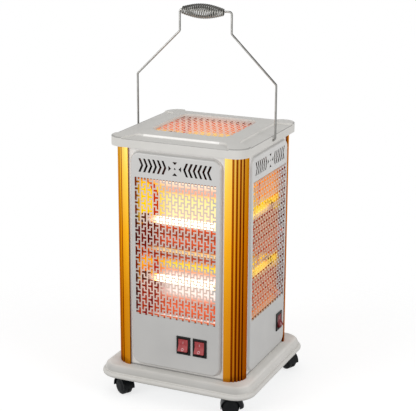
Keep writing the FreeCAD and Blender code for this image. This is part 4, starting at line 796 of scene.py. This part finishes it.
def plainPiece(name, tree, values, material):  # a tree's result as a plain mesh at the origin
    holder = bpy.data.objects.new(name, bpy.data.meshes.new(name + "Seed"))
    bpy.context.scene.collection.objects.link(holder)
    shape = holder.modifiers.new("shape", "NODES")
    shape.node_group = tree
    for item in tree.interface.items_tree:
        if item.in_out == "INPUT":
            shape[item.identifier] = material if item.name == "Material" else values[item.name]
    bpy.context.view_layer.update()
    made = holder.evaluated_get(bpy.context.evaluated_depsgraph_get())
    mesh = bpy.data.meshes.new_from_object(made)
    holder.modifiers.clear()
    holder.data = mesh
    mesh.name = name
    for face in mesh.polygons:
        face.use_smooth = True
    return holder


gripPiece = plainPiece("woundGrip", gripTree(), grip, springWire)
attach(gripPiece, "grip")
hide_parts("handle_grip")
print("grip wound")

# Marks on the rockers: a bar at the upper end and a ring at the lower one, laid on the red face by rays
# that start clear of it.
marks = {"Rise": 5.6 * mm, "Bar Width": 1.1 * mm, "Bar Height": 4.6 * mm, "Bar Rows": 4,
         "Ring": 2.3 * mm, "Ring Points": 28, "Stroke": 0.9 * mm, "Proud": 0.05 * mm,
         "Start": 20 * mm, "Ray": 100 * mm}


def marksTree():
    kinds = {"Bar Rows": "NodeSocketInt", "Ring Points": "NodeSocketInt", "Rocker": "NodeSocketObject",
             "Middle": "NodeSocketVector", "Across": "NodeSocketVector", "Outward": "NodeSocketVector",
             "Material": "NodeSocketMaterial"}
    tree, size = startTree("rockerMarks", marks, kinds)
    bar = put(tree, "GeometryNodeMeshGrid", {"Size X": size["Bar Width"], "Size Y": size["Bar Height"],
                                             "Vertices X": 2, "Vertices Y": size["Bar Rows"]})
    above = put(tree, "ShaderNodeCombineXYZ", {1: size["Rise"]})
    barUp = put(tree, "GeometryNodeTransform", {"Geometry": bar, "Translation": above})
    hole = put(tree, "ShaderNodeMath", {0: size["Ring"], 1: size["Stroke"]}, operation="SUBTRACT")
    rims = []
    for radius in (size["Ring"], hole):
        rims.append(put(tree, "GeometryNodeCurvePrimitiveCircle", {"Resolution": size["Ring Points"],
                                                                   "Radius": radius}))
    pair = put(tree, "GeometryNodeJoinGeometry")
    for rim in reversed(rims):
        tree.links.new(rim.outputs[0], pair.inputs[0])
    ring = put(tree, "GeometryNodeFillCurve", {0: pair})
    below = put(tree, "ShaderNodeVectorMath", {0: above, "Scale": -1.0}, operation="SCALE")
    ringDown = put(tree, "GeometryNodeTransform", {"Geometry": ring, "Translation": below})
    both = put(tree, "GeometryNodeJoinGeometry")
    for piece in (barUp, ringDown):
        tree.links.new(piece.outputs[0], both.inputs[0])
    flat = put(tree, "ShaderNodeSeparateXYZ", {0: put(tree, "GeometryNodeInputPosition")})
    aside = put(tree, "ShaderNodeVectorMath", {0: size["Across"], "Scale": flat.outputs["X"]},
                operation="SCALE")
    height = put(tree, "ShaderNodeCombineXYZ", {2: flat.outputs["Y"]})
    spot = put(tree, "ShaderNodeVectorMath", {0: aside, 1: height}, operation="ADD")
    clear = put(tree, "ShaderNodeVectorMath", {0: size["Outward"], "Scale": size["Start"]},
                operation="SCALE")
    front = put(tree, "ShaderNodeVectorMath", {0: size["Middle"], 1: clear}, operation="ADD")
    start = put(tree, "ShaderNodeVectorMath", {0: spot, 1: front}, operation="ADD")
    inward = put(tree, "ShaderNodeVectorMath", {0: size["Outward"], "Scale": -1.0}, operation="SCALE")
    target = put(tree, "GeometryNodeObjectInfo", {"Object": size["Rocker"]}, transform_space="RELATIVE")
    ray = put(tree, "GeometryNodeRaycast", {
        "Target Geometry": target.outputs["Geometry"], "Source Position": start,
        "Ray Direction": inward, "Ray Length": size["Ray"]})
    film = put(tree, "ShaderNodeVectorMath", {0: size["Outward"], "Scale": size["Proud"]},
               operation="SCALE")
    rest = put(tree, "ShaderNodeVectorMath", {0: ray.outputs["Hit Position"], 1: film}, operation="ADD")
    laid = put(tree, "GeometryNodeSetPosition", {"Geometry": both, "Position": rest})
    endTree(tree, laid, size["Material"])
    return tree


markTree = marksTree()
for switch, side in switchSides.items():
    low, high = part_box(switch + "_switch")
    outward = Vector(ways[side])
    across = Vector((0, 0, 1)).cross(outward)
    values = dict(marks, Rocker=nodes[switch + "_rocker"], Middle=(low + high) / 2, Across=across,
                  Outward=outward)
    words = [word.capitalize() for word in switch.split("_")]
    markPiece = plainPiece("rockerMarks" + "".join(words), markTree, values, printInk)
    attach(markPiece, switch + "_rocker")
print("rockers marked")
